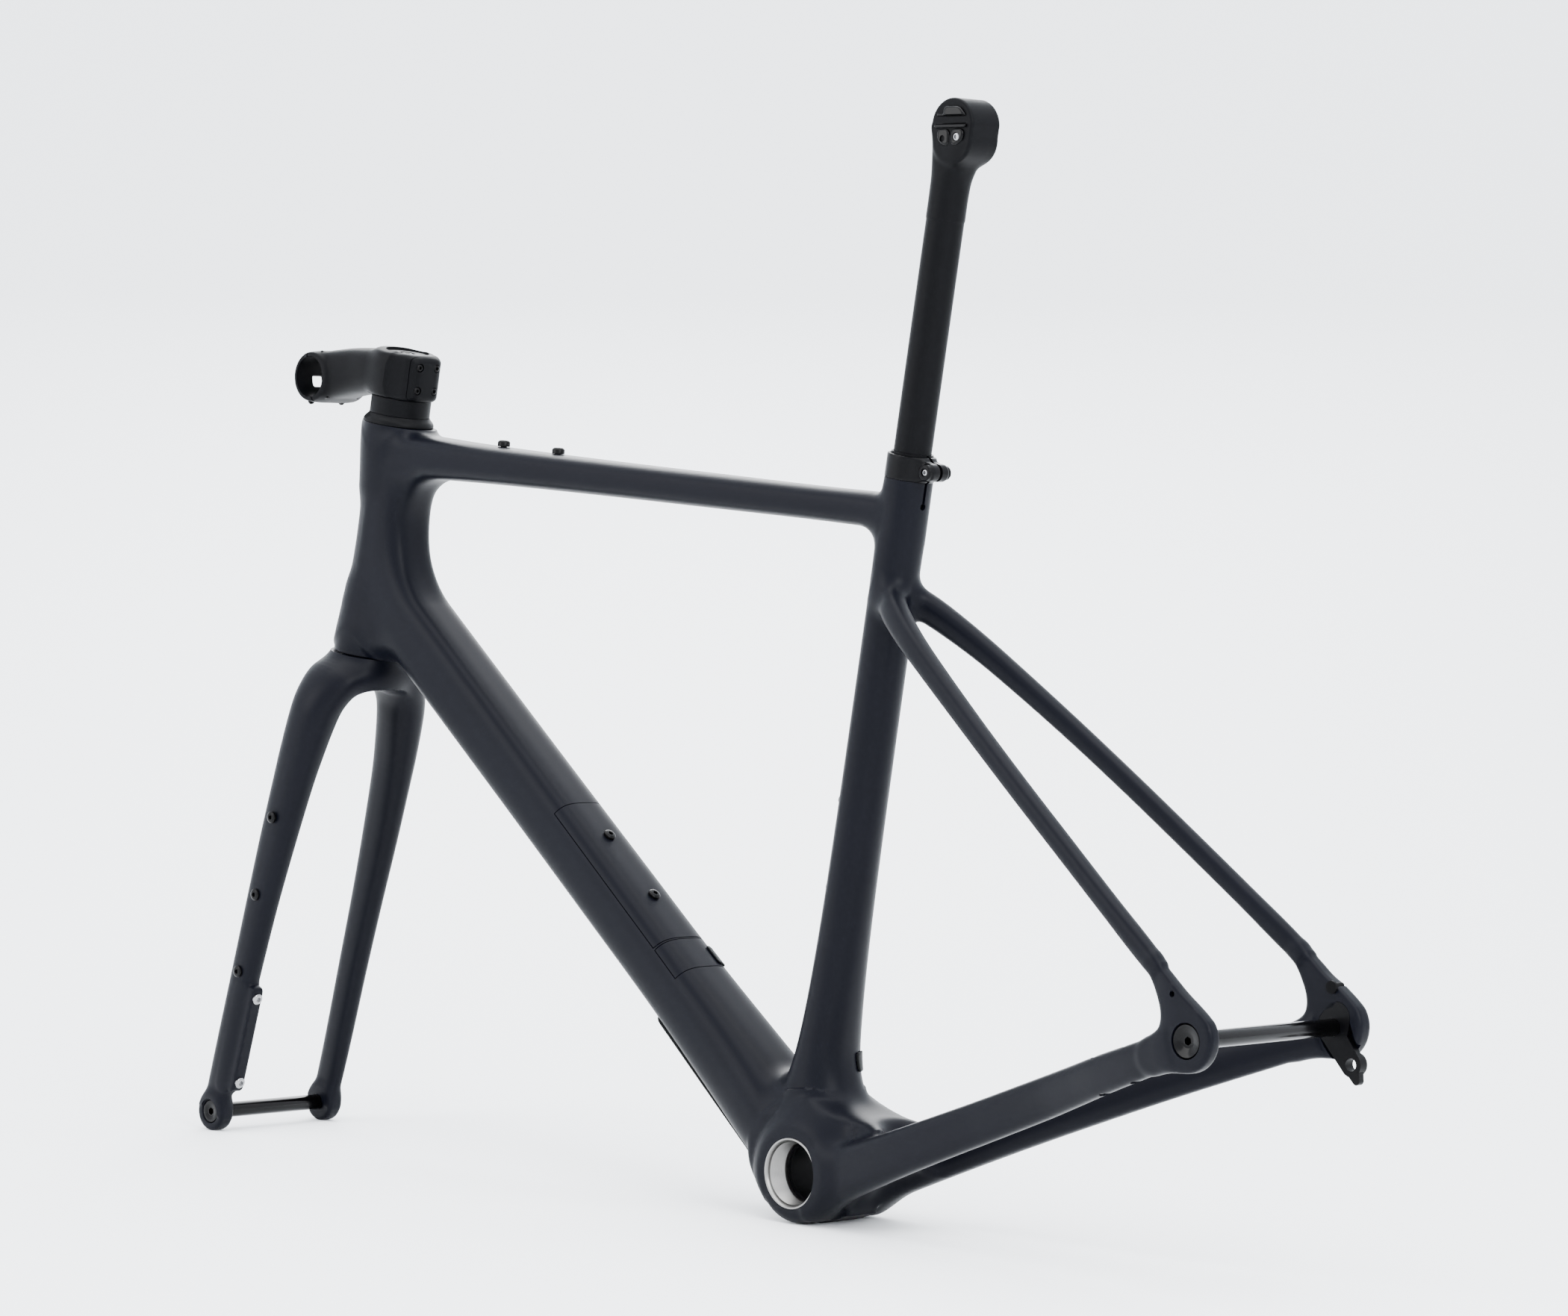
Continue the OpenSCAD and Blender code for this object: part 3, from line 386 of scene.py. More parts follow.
# ---------------------------------------------------------------- meshing
def surface_nets(D, lo, h):
    s = D < 0
    nx, ny, nz = D.shape
    cnt = np.zeros((nx - 1, ny - 1, nz - 1), np.uint8)
    for dx in (0, 1):
        for dy in (0, 1):
            for dz in (0, 1):
                cnt += s[dx:nx - 1 + dx, dy:ny - 1 + dy, dz:nz - 1 + dz]
    act = (cnt > 0) & (cnt < 8)
    ids = np.argwhere(act)
    index = np.full(act.shape, -1, np.int32)
    index[act] = np.arange(len(ids), dtype=np.int32)
    acc = np.zeros((len(ids), 3))
    num = np.zeros(len(ids))
    corner = [(0, 0, 0), (1, 0, 0), (0, 1, 0), (1, 1, 0), (0, 0, 1), (1, 0, 1), (0, 1, 1), (1, 1, 1)]
    val = [D[ids[:, 0] + c[0], ids[:, 1] + c[1], ids[:, 2] + c[2]].astype(float) for c in corner]
    for i, j in ((0, 1), (2, 3), (4, 5), (6, 7), (0, 2), (1, 3), (4, 6), (5, 7), (0, 4), (1, 5), (2, 6), (3, 7)):
        a, b = val[i], val[j]
        m = (a < 0) != (b < 0)
        t = np.where(m, a / np.where(m, a - b, 1.0), 0.0)
        p = np.array(corner[i], float)[None, :] + t[:, None] * (np.array(corner[j], float) - np.array(corner[i], float))[None, :]
        acc += np.where(m[:, None], p, 0.0)
        num += m
    verts = np.asarray(lo, float) + (ids + acc / num[:, None]) * h
    quads = []
    for ax in range(3):
        o = [1, 2] if ax == 0 else ([2, 0] if ax == 1 else [0, 1])
        a = [slice(1, -1)] * 3
        b = [slice(1, -1)] * 3
        a[ax] = slice(0, -1)
        b[ax] = slice(1, None)
        s0, s1 = s[tuple(a)], s[tuple(b)]
        e = np.argwhere(s0 != s1)
        base = e + 1
        base[:, ax] -= 1
        inside = s0[tuple(e.T)]
        def cell(du, dv):
            c = base.copy()
            c[:, o[0]] -= du
            c[:, o[1]] -= dv
            return index[tuple(c.T)]
        q = np.stack([cell(1, 1), cell(0, 1), cell(0, 0), cell(1, 0)], 1)
        q[~inside] = q[~inside][:, ::-1]
        quads.append(q)
    return verts, np.concatenate(quads)


def polygonise(field, lo, hi, h, mirror=False, block=4, reach=2.3, rounds=2):
    lo = np.asarray(lo, float)
    hi = np.asarray(hi, float)
    if mirror:
        lo[1] = 0.0
    nb = np.ceil((hi - lo) / (h * block)).astype(int)
    n = nb * block
    g = [lo[i] + h * (np.arange(nb[i]) * block + (block - 1) / 2.0) for i in range(3)]
    C = np.stack(np.meshgrid(*g, indexing="ij"), -1).reshape(-1, 3)
    cd = np.concatenate([field(p) for p in np.array_split(C, max(1, len(C) // 200000))]).reshape(nb)
    keep = np.abs(cd) < reach * h * block
    D = np.repeat(np.repeat(np.repeat(cd.astype(np.float32), block, 0), block, 1), block, 2)
    mask = np.repeat(np.repeat(np.repeat(keep, block, 0), block, 1), block, 2)
    ids = np.argwhere(mask)
    P = lo + ids * h
    out = np.concatenate([field(p) for p in np.array_split(P, max(1, len(P) // 250000))])
    D[mask] = out
    D[D == 0] = 1e-5
    if mirror:
        D = np.concatenate([D[:, :0:-1, :], D], 1)
        lo = lo.copy()
        lo[1] = -h * (n[1] - 1)
    V, Q = surface_nets(D, lo, h)
    e = 0.15
    for _ in range(rounds):
        f0 = np.concatenate([field(p) for p in np.array_split(V, max(1, len(V) // 250000))])
        G = np.empty_like(V)
        for i in range(3):
            w = np.zeros(3)
            w[i] = e
            G[:, i] = np.concatenate([field(p + w) - field(p - w) for p in np.array_split(V, max(1, len(V) // 250000))]) / (2 * e)
        step = -f0[:, None] * G / np.maximum((G * G).sum(1), 0.05)[:, None]
        L = np.linalg.norm(step, axis=1)
        step *= np.minimum(1.0, 0.6 * h / np.maximum(L, 1e-9))[:, None]
        V = V + step
    return V, Q


# ---------------------------------------------------------------- frames of reference
YV = np.array([0.0, 1.0, 0.0])


def basis(o, x, z):
    """maps local mm (x along x, y left, z along z) to the row frame in metres"""
    o, x, z = (np.asarray(k, float) for k in (o, x, z))
    return lambda p: place(o + np.asarray(p, float)[..., 0:1] * x + np.asarray(p, float)[..., 1:2] * YV
                           + np.asarray(p, float)[..., 2:3] * z)


RIDE = basis((0, 0, 0), (1, 0, 0), (0, 0, 1))
STEER = basis(LOW, FW, UP)
SEATF = basis(SFOOT, SFW, SUP)
DTF = basis(DT_A, DT_D, DT_N)
TTF = basis(TT_A, TT_D, (-TT_D[2], 0, TT_D[0]))
REAR = basis((REAR_X, 0, DROP), (1, 0, 0), (0, 0, 1))
FRONT = basis((FRONT_X, 0, DROP), (1, 0, 0), (0, 0, 1))
SPACER_TOP = HEAD_LEN + 7.3 + 13.6
STEM_TOP = SPACER_TOP + 34.5
BAR_X, BAR_Z = 87 * cosd(11), SPACER_TOP + 17.6 - 87 * sind(11)


def tilt(x, z, a):
    """unit axes x, z turned nose down by a degrees about y"""
    return x * cosd(a) - z * sind(a), z * cosd(a) + x * sind(a)


BX, BZ = tilt(FW, UP, 20.0)
BAR = basis(LOW + BAR_X * FW + BAR_Z * UP, BX, BZ)
HX, HZ = tilt(SFW, SUP, 90 - SEAT_A - math.degrees(PITCH))
CLAMP = basis(seat(-SETBACK, 0, POST_H), HX, HZ)


def local(o, frame_fn, x=(1, 0, 0), y=(0, 1, 0), z=(0, 0, 1)):
    """a frame inside another: origin o, with its own axes"""
    o, x, y, z = (np.asarray(k, float) for k in (o, x, y, z))
    return lambda p: frame_fn(o + np.asarray(p, float)[..., 0:1] * x + np.asarray(p, float)[..., 1:2] * y
                              + np.asarray(p, float)[..., 2:3] * z)


# ---------------------------------------------------------------- mesh tools
scene = bpy.context.scene


def obj_from(name, V, F, to=RIDE, flip=False):
    """mesh object from vertices in local mm and faces (array or list of lists)"""
    V = to(np.asarray(V, float))
    me = bpy.data.meshes.new(name)
    if isinstance(F, np.ndarray):
        k = F.shape[1]
        if flip:
            F = F[:, ::-1]
        me.vertices.add(len(V))
        me.vertices.foreach_set("co", V.astype(np.float32).ravel())
        me.loops.add(F.size)
        me.loops.foreach_set("vertex_index", np.ascontiguousarray(F, dtype=np.int32).ravel())
        me.polygons.add(len(F))
        me.polygons.foreach_set("loop_start", np.arange(0, F.size, k, dtype=np.int32))
        me.update(calc_edges=True)
    else:
        me.from_pydata([tuple(v) for v in V], [], [list(reversed(f)) if flip else list(f) for f in F])
        me.update()
    ob = bpy.data.objects.new(name, me)
    scene.collection.objects.link(ob)
    return ob


def bake(ob):
    """applies the modifiers of ob"""
    dg = bpy.context.evaluated_depsgraph_get()
    me = bpy.data.meshes.new_from_object(ob.evaluated_get(dg))
    ob.modifiers.clear()
    old, ob.data = ob.data, me
    bpy.data.meshes.remove(old)
    return ob


def drop(*obs):
    for o in obs:
        me = o.data
        bpy.data.objects.remove(o)
        bpy.data.meshes.remove(me)


def cut(ob, *cutters, op="DIFFERENCE", keep=False):
    for c in cutters:
        before = len(ob.data.polygons)
        m = ob.modifiers.new("cut", "BOOLEAN")
        m.solver = "MANIFOLD"
        m.operation = op
        m.object = c
        bpy.context.view_layer.update()
        bake(ob)
        if len(ob.data.polygons) == 0 or (op != "UNION" and len(ob.data.polygons) == before):
            print("note: cut changed nothing or emptied", ob.name, c.name, before, len(ob.data.polygons))
        if not keep:
            drop(c)
    return ob


def lathe(name, profile, to=RIDE, seg=64, axis="z", closed=False):
    """turned piece. profile: (radius, height) pairs from one end to the other; closed joins last to first as a ring"""
    V, F, rows = [], [], []
    a = np.linspace(0, 2 * math.pi, seg, endpoint=False)
    for r, h in profile:
        if r <= 1e-6:
            rows.append([len(V)])
            V.append((0, 0, h))
        else:
            rows.append(list(range(len(V), len(V) + seg)))
            V.extend(zip(r * np.cos(a), r * np.sin(a), [h] * seg))
    pairs = list(zip(rows[:-1], rows[1:])) + ([(rows[-1], rows[0])] if closed else [])
    for p, q in pairs:
        for i in range(seg):
            j = (i + 1) % seg
            if len(p) == 1 and len(q) == 1:
                continue
            if len(p) == 1:
                F.append([p[0], q[j], q[i]])
            elif len(q) == 1:
                F.append([p[i], p[j], q[0]])
            else:
                F.append([p[i], p[j], q[j], q[i]])
    V = np.array(V, float)
    if axis == "y":
        V = np.stack([V[:, 1], V[:, 2], V[:, 0]], 1)
    elif axis == "x":
        V = np.stack([V[:, 2], V[:, 0], V[:, 1]], 1)
    # outward when the profile runs upwards on the outside
    return obj_from(name, V, F, to)


def rod(name, r, h0, h1, to=RIDE, axis="z", seg=64):
    return lathe(name, [(0, h0), (r, h0), (r, h1), (0, h1)], to, seg, axis)


def prism(name, pts, y0, y1, to=RIDE, plane="xz"):
    """outline pushed along y (plane xz) or along z (plane xy); pts run anticlockwise in that plane"""
    n = len(pts)
    if plane == "xz":
        V = [(x, y0, z) for x, z in pts] + [(x, y1, z) for x, z in pts]
        F = [list(range(n)), list(range(2 * n - 1, n - 1, -1))] + [[i, n + i, n + (i + 1) % n, (i + 1) % n] for i in range(n)]
    else:
        V = [(x, y, y0) for x, y in pts] + [(x, y, y1) for x, y in pts]
        F = [list(range(n - 1, -1, -1)), list(range(n, 2 * n))] + [[i, (i + 1) % n, n + (i + 1) % n, n + i] for i in range(n)]
    return obj_from(name, V, F, to)


def box(name, lo, hi, to=RIDE):
    return prism(name, [(lo[0], lo[2]), (hi[0], lo[2]), (hi[0], hi[2]), (lo[0], hi[2])], lo[1], hi[1], to)


def arc(cx, cy, r, a0, a1, n):
    return [(cx + r * cosd(a0 + (a1 - a0) * i / n), cy + r * sind(a0 + (a1 - a0) * i / n)) for i in range(n + 1)]


def rounded(x0, z0, x1, z1, r, n=6):
    return (arc(x1 - r, z0 + r, r, -90, 0, n) + arc(x1 - r, z1 - r, r, 0, 90, n)
            + arc(x0 + r, z1 - r, r, 90, 180, n) + arc(x0 + r, z0 + r, r, 180, 270, n))


def hexagon(r):
    return [(r * cosd(60 * i), r * sind(60 * i)) for i in range(6)]


def lobes(r, dip=0.18, n=48):
    """six-lobed socket outline"""
    return [((r * (1 - dip * (0.5 - 0.5 * cosd(6 * t)))) * cosd(t), (r * (1 - dip * (0.5 - 0.5 * cosd(6 * t)))) * sind(t))
            for t in (360.0 * i / n for i in range(n))]


def merge(name, obs):
    """one object from separate solids"""
    V, F, k = [], [], 0
    for o in obs:
        me = o.data
        V += [tuple(v.co) for v in me.vertices]
        F += [[k + i for i in p.vertices] for p in me.polygons]
        k += len(me.vertices)
    drop(*obs)
    me = bpy.data.meshes.new(name)
    me.from_pydata(V, [], F)
    me.update()
    ob = bpy.data.objects.new(name, me)
    scene.collection.objects.link(ob)
    return ob


def bevel(ob, w, seg=2, angle=32):
    m = ob.modifiers.new("bevel", "BEVEL")
    m.width = w / 1000.0
    m.segments = seg
    m.limit_method = "ANGLE"
    m.angle_limit = math.radians(angle)
    m.harden_normals = False
    bpy.context.view_layer.update()
    return bake(ob)


def shade(ob, angle=30):
    me = ob.data
    me.polygons.foreach_set("use_smooth", [True] * len(me.polygons))
    me.set_sharp_from_angle(angle=math.radians(angle))
    me.update()
    return ob


def done(ob, body, material, replaces=(), angle=30):
    shade(ob, angle)
    ob.data.materials.clear()
    ob.data.materials.append(material)
    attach(ob, body)
    if replaces:
        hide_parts(*replaces)
    return ob


def field_obj(name, field, lo, hi, h, to=RIDE):
    V, Q = polygonise(field, lo, hi, h)
    return obj_from(name, V, Q, to)


# ---------------------------------------------------------------- materials
def material(name, base, rough, metal=0.0, spec=0.5, coat=0.0, coat_rough=0.2, tint=0.06, tint_scale=60.0,
             rough_var=0.05, rough_scale=220.0, bump=0.02, bump_scale=900.0, bump_size=0.00005, brushed=None, sheen=0.0,
             flecks=0.0):
    m = bpy.data.materials.new(name)
    m.use_nodes = True
    nt = m.node_tree
    nt.nodes.clear()
    N = nt.nodes.new
    out = N("ShaderNodeOutputMaterial")
    b = N("ShaderNodeBsdfPrincipled")
    nt.links.new(b.outputs[0], out.inputs[0])
    b.inputs["Metallic"].default_value = metal
    b.inputs["Specular IOR Level"].default_value = spec
    b.inputs["Coat Weight"].default_value = coat
    b.inputs["Coat Roughness"].default_value = coat_rough
    b.inputs["Sheen Weight"].default_value = sheen
    tc = N("ShaderNodeTexCoord")
    src = tc.outputs["Object"]
    if brushed:
        mp = N("ShaderNodeMapping")
        mp.inputs["Scale"].default_value = brushed
        nt.links.new(src, mp.inputs["Vector"])
        src_b = mp.outputs[0]
    else:
        src_b = src
    n1 = N("ShaderNodeTexNoise")
    n1.inputs["Scale"].default_value = tint_scale
    n1.inputs["Detail"].default_value = 5.0
    nt.links.new(src_b, n1.inputs["Vector"])
    r1 = N("ShaderNodeValToRGB")
    r1.color_ramp.elements[0].position = 0.3
    r1.color_ramp.elements[1].position = 0.7
    r1.color_ramp.elements[0].color = tuple(c * (1 - tint) for c in base) + (1,)
    r1.color_ramp.elements[1].color = tuple(min(1.0, c * (1 + tint)) for c in base) + (1,)
    nt.links.new(n1.outputs["Fac"], r1.inputs[0])
    col = r1.outputs[0]
    if flecks > 0:
        v = N("ShaderNodeTexVoronoi")
        v.inputs["Scale"].default_value = 2600.0
        nt.links.new(src, v.inputs["Vector"])
        fr = N("ShaderNodeValToRGB")
        fr.color_ramp.elements[0].position = 0.0
        fr.color_ramp.elements[0].color = tuple(min(1, c * (1 + 9 * flecks)) for c in base) + (1,)
        fr.color_ramp.elements[1].position = 0.16
        fr.color_ramp.elements[1].color = (0, 0, 0, 1)
        nt.links.new(v.outputs["Distance"], fr.inputs[0])
        mx = N("ShaderNodeMix")
        mx.data_type = "RGBA"
        mx.blend_type = "ADD"
        mx.inputs[0].default_value = flecks
        nt.links.new(col, mx.inputs[6])
        nt.links.new(fr.outputs[0], mx.inputs[7])
        col = mx.outputs[2]
    nt.links.new(col, b.inputs["Base Color"])
    n2 = N("ShaderNodeTexNoise")
    n2.inputs["Scale"].default_value = rough_scale
    n2.inputs["Detail"].default_value = 3.0
    nt.links.new(src_b, n2.inputs["Vector"])
    mr = N("ShaderNodeMapRange")
    mr.inputs["To Min"].default_value = max(0.02, rough - rough_var)
    mr.inputs["To Max"].default_value = min(1.0, rough + rough_var)
    nt.links.new(n2.outputs["Fac"], mr.inputs["Value"])
    nt.links.new(mr.outputs[0], b.inputs["Roughness"])
    if bump > 0:
        n3 = N("ShaderNodeTexNoise")
        n3.inputs["Scale"].default_value = bump_scale
        n3.inputs["Detail"].default_value = 2.0
        nt.links.new(src_b, n3.inputs["Vector"])
        bp = N("ShaderNodeBump")
        bp.inputs["Strength"].default_value = bump
        bp.inputs["Distance"].default_value = bump_size
        nt.links.new(n3.outputs["Fac"], bp.inputs["Height"])
        nt.links.new(bp.outputs[0], b.inputs["Normal"])
    return m


PAINT = material("frame_paint", (0.0013, 0.0016, 0.0034), 0.40, spec=0.066, tint=0.07,
                 tint_scale=14.0, rough_var=0.035, rough_scale=420.0, bump=0.22, bump_scale=1500.0, bump_size=0.00004)
FORK_PAINT = material("fork_paint", (0.0013, 0.0016, 0.0034), 0.40, spec=0.066, tint=0.07,
                      tint_scale=14.0, rough_var=0.035, rough_scale=420.0, bump=0.22, bump_scale=1500.0, bump_size=0.00004)
BAY = material("bay_lining", (0.0026, 0.0026, 0.0029), 0.62, tint=0.25, tint_scale=160.0, rough_var=0.1, bump=0.5, bump_scale=700.0)
CARBON = material("matt_carbon", (0.0011, 0.0012, 0.0016), 0.47, spec=0.052, tint=0.12, tint_scale=90.0, rough_var=0.05,
                  rough_scale=600.0, bump=0.35, bump_scale=1800.0, bump_size=0.00004)
ANOD = material("black_anodised", (0.0010, 0.0010, 0.0013), 0.33, metal=0.0, spec=0.07, tint=0.1, tint_scale=300.0,
                rough_var=0.06, rough_scale=900.0, bump=0.15, bump_scale=2400.0, bump_size=0.00003)
GLOSS = material("gloss_black", (0.0006, 0.0006, 0.0007), 0.16, spec=0.10, tint=0.1, tint_scale=120.0,
                 rough_var=0.04, rough_scale=300.0, bump=0.05, bump_scale=500.0)
SILVER = material("machined_aluminium", (0.20, 0.196, 0.188), 0.33, metal=1.0, tint=0.05, tint_scale=40.0, rough_var=0.07,
                  rough_scale=60.0, bump=0.25, bump_scale=90.0, bump_size=0.00003, brushed=(6.0, 160.0, 6.0))
STEEL = material("steel_bolt", (0.26, 0.26, 0.265), 0.24, metal=1.0, tint=0.08, tint_scale=400.0, rough_var=0.08,
                 rough_scale=700.0, bump=0.1, bump_scale=1500.0, bump_size=0.00003)
RACE = material("bearing_steel", (0.16, 0.16, 0.165), 0.18, metal=1.0, tint=0.05, tint_scale=300.0, rough_var=0.05,
                bump=0.08, bump_scale=900.0, bump_size=0.00003)
BLACK_BOLT = material("black_bolt", (0.0008, 0.0008, 0.0009), 0.3, metal=0.0, spec=0.09, tint=0.15, tint_scale=600.0,
                      rough_var=0.08, rough_scale=900.0, bump=0.12, bump_scale=1500.0, bump_size=0.00003)
RUBBER = material("soft_black", (0.0009, 0.0009, 0.0011), 0.56, spec=0.05, tint=0.15, tint_scale=500.0, rough_var=0.08,
                  rough_scale=900.0, bump=0.5, bump_scale=1400.0, bump_size=0.00006)
PLASTIC = material("black_plastic", (0.0011, 0.0012, 0.0015), 0.45, spec=0.055, tint=0.12, tint_scale=300.0, rough_var=0.06,
                   rough_scale=800.0, bump=0.4, bump_scale=1600.0, bump_size=0.00005)
SLOT_MAT = {"frame_paint": PAINT, "fork_paint": FORK_PAINT, "matt_carbon": CARBON, "black_anodised": ANOD,
            "gloss_black": GLOSS, "machined_aluminium": SILVER, "steel_bolt": STEEL, "black_bolt": BLACK_BOLT,
            "bearing_steel": RACE, "soft_black": RUBBER, "black_plastic": PLASTIC}
for sub in frame["record"]["subparts"]:
    o = NODES[sub["node"]]
    o.data.materials.clear()
    o.data.materials.append(SLOT_MAT[sub["material_slot"]])
    o.data.polygons.foreach_set("use_smooth", [True] * len(o.data.polygons))
    o.data.set_sharp_from_angle(angle=math.radians(30))

# ---------------------------------------------------------------- the main frame
H = 1.8
def shell_field(P):
    """the frame with a collar of material around each headset bearing"""
    d = frame_field(P)
    m = np.nonzero(P[:, 0] > 330)[0]
    if len(m):
        q = P[m] - LOW
        x, z = q @ FW, q @ UP
        e = np.minimum(z + 1.0, HEAD_LEN - z)
        cup = np.maximum(np.hypot(x, q[:, 1]) - (27.3 - 4.2 * smooth((e - 8.0) / 60.0) - 8.0 * smooth((e - 50.0) / 30.0)), np.maximum(-8.0 - z, z - HEAD_LEN - 8.0))
        d[m] = smin(d[m], cup, 5.0)
    return smax(d, P[:, 1] - 82.1, 1.2)


shell = field_obj("frame_shell", shell_field, (-440, -90, -42), (556, 92, 632), H)

# hollow of the down tube behind the hatch
def tube_solid(name, s0, s1, inset, n=40, m=56):
    V, F = [], []
    S = np.linspace(s0, s1, n)
    q = spline([r[0] for r in DT_ST], [r[1:] for r in DT_ST], S)
    for s, (a, b, e) in zip(S, q):
        for i in range(m):
            t = 2 * math.pi * i / m
            c, k = math.cos(t), math.sin(t)
            V.append((s, (a - inset) * math.copysign(abs(c) ** (2 / e), c), (b - inset) * math.copysign(abs(k) ** (2 / e), k)))
    for j in range(n - 1):
        for i in range(m):
            i2 = (i + 1) % m
            F.append([j * m + i, (j + 1) * m + i, (j + 1) * m + i2, j * m + i2])
    F.append(list(range(m)))
    F.append([(n - 1) * m + i for i in range(m - 1, -1, -1)])
    return obj_from(name, V, F, DTF, flip=True)


HATCH_LO, HATCH_HI, HATCH_T, LATCH_LO, LATCH_LEN = 211.0, 356.0, 15.4, 181.0, 29.0


def hatch_box(name, g):
    return prism(name, [(HATCH_LO + 1.8 - g, HATCH_T - g), (HATCH_HI + g, HATCH_T - g), (HATCH_HI + g, 60), (HATCH_LO - 1 - g, 60)],
                 -100, 100, DTF)


def latch_box(name, g):
    return box(name, (LATCH_LO - g, -52, HATCH_T - g), (LATCH_LO + LATCH_LEN + g, 52, 60), DTF)


def copy_of(ob, name):
    c = ob.copy()
    c.data = ob.data.copy()
    c.name = name
    scene.collection.objects.link(c)
    return c


hollow = tube_solid("hollow", 150, 392, 2.4)
door = cut(copy_of(shell, "hatch_door"), hatch_box("c", 0.0), op="INTERSECT")
cut(door, tube_solid("hollow2", 150, 392, 2.2))
latch = cut(copy_of(shell, "latch_lever"), latch_box("c", 0.0), op="INTERSECT")
cut(latch, tube_solid("hollow3", 150, 392, 2.2))

cut(shell, hollow)
cut(shell, hatch_box("c", 0.7))
cut(shell, latch_box("c", 0.7))
# head tube ends and bore
cut(shell, box("c", (-60, -60, HEAD_LEN), (60, 60, HEAD_LEN + 60), STEER))
cut(shell, box("c", (-60, -60, -60), (60, 60, -1.0), STEER))
cut(shell, lathe("c", [(0, -10), (26.1, -10), (26.1, 8), (20.9, 10), (20.9, HEAD_LEN - 10), (26.1, HEAD_LEN - 8),
                       (26.1, HEAD_LEN + 10), (0, HEAD_LEN + 10)], STEER, 96))
# seat tube top, bore and slot
SL = 524.0
cut(shell, box("c", (-40, -40, SL - 19.0), (40, 40, SL + 60), SEATF))
cut(shell, rod("c", 15.12, 300, SL + 10, SEATF, seg=96))
slot_pts = [(1.25, SL - 36), (1.25, SL + 40), (-1.25, SL + 40), (-1.25, SL - 36)]
cut(shell, rod("c", 2.5, -34, -6, local((0, 0, SL - 36), SEATF), axis="x", seg=40))
cut(shell, box("c", (-34, -1.25, SL - 36), (-6, 1.25, SL + 20), SEATF))
# bottom bracket bore
cut(shell, rod("c", 25.45, -60, 60, RIDE, axis="y", seg=128))
# rear ends
cut(shell, rod("c", 6.1, 60, 100, REAR, axis="y"))
cut(shell, lathe("c", [(0, 76), (12.2, 76), (12.2, 81.6), (13.0, 82.5), (13.0, 90), (0, 90)], REAR, 72, "y"))
cut(shell, rod("c", 9.05, -100, -60, REAR, axis="y"))
cut(shell, rod("c", 2.1, 74, 100, local((8, 0, 31.5), REAR), axis="y", seg=32))
cut(shell, rod("c", 2.1, -100, -76, local((8, 0, 31.5), REAR), axis="y", seg=32))
cut(shell, rod("c", 3.05, -100, -60, local((-3, 0, 27), REAR), axis="y", seg=32))
hang = ([(13.3 * cosd(t), 13.3 * sind(t)) for t in range(-20, 95, 8)] + [(-4 + 11.3 * cosd(t), 6 + 11.3 * sind(t)) for t in range(95, 200, 8)]
        + [(-21.5, -24), (-20.5, -42), (-8, -42), (-2, -30), (9.5, -12)])
cut(shell, prism("c", hang, -75.9, -70, REAR))
# caliper sleeves through the left chainstay
for i in (0, 1):
    f = 0.775 + (34 / CHAIN if i else 0)
    ax = np.array([sind(11.6), 0, cosd(11.6)])
    fx_ = np.array([cosd(11.6), 0, -sind(11.6)])
    o = np.array([REAR_X * f, 62.2 + i * 6, -12 + f * (DROP + 11)])
    cut(shell, rod("c", 4.25, -40, 40, basis(o, fx_, ax), seg=48))
ROW = lambda p: np.asarray(p, float) / 1000.0
cut(shell, box("c", (-200, -200, -90), (200, 200, -36.46), ROW))
done(shell, "frame", PAINT, ("head_tube", "top_tube", "down_tube", "down_tube_bay", "down_tube_foot", "seat_tube",
     "bb_shell", "stay_yoke", "chainstay_left", "chainstay_right", "seatstay_left", "seatstay_right", "dropout_left", "dropout_right"))
done(door, "hatch", PAINT, ("storage_hatch",))
done(latch, "latch", PAINT, ("hatch_latch",))

# ---------------------------------------------------------------- fork
fork = field_obj("fork_shell", fork_field, (-45, -72, FZ - 20), (FX + 22, 72, 10), 1.4, STEER)
cut(fork, box("c", (-60, -60, -2.2), (60, 60, 40), STEER))
cut(fork, rod("c", 19.95, -15, 30, STEER, seg=96))
cut(fork, rod("c", 10, -60, 0, STEER))
cut(fork, rod("c", 6.1, -80, 80, FRONT, axis="y"))
cut(fork, lathe("c", [(0, 57.5), (9.3, 57.5), (9.3, 61.4), (9.9, 62.1), (9.9, 80), (0, 80)], FRONT, 64, "y"))
done(fork, "fork", FORK_PAINT, ("fork_crown", "fork_leg_left", "fork_leg_right", "fork_tip_left", "fork_tip_right"))

# ---------------------------------------------------------------- hardware
def toward(frame_fn, o, axis):
    """a frame at o whose z axis points along +-x or +-y of the parent"""
    ax = {"x": ((0, 1, 0), (0, 0, 1), (1, 0, 0)), "-x": ((0, -1, 0), (0, 0, 1), (-1, 0, 0)),
          "y": ((0, 0, 1), (1, 0, 0), (0, 1, 0)), "-y": ((0, 0, 1), (-1, 0, 0), (0, -1, 0)),
          "z": ((1, 0, 0), (0, 1, 0), (0, 0, 1))}[axis]
    return local(o, frame_fn, *ax)


def screw(name, rs, length, rh, hh, to, socket="lobe", rk=None, depth=None, dome=0.35):
    """cap screw seen from its head: origin under the head, head along +z"""
    prof = [(0, -length), (rs - 0.4, -length), (rs, -length + 0.5), (rs, -0.02), (rh - 0.15, 0), (rh, 0.2), (rh, hh * (1 - dome))]
    prof += [(rh * (1 - 0.28 * sind(a) ** 2) - rh * 0.05 * sind(a), hh * (1 - dome) + hh * dome * sind(a)) for a in (30, 60, 90)]
    prof += [(0, hh)]
    ob = lathe(name, prof, to, 40)
    rk = rk or rh * 0.52
    pts = lobes(rk) if socket == "lobe" else hexagon(rk)
    return cut(ob, prism("k", pts, hh - (depth or hh * 0.7), hh + 2, to, "xy"))


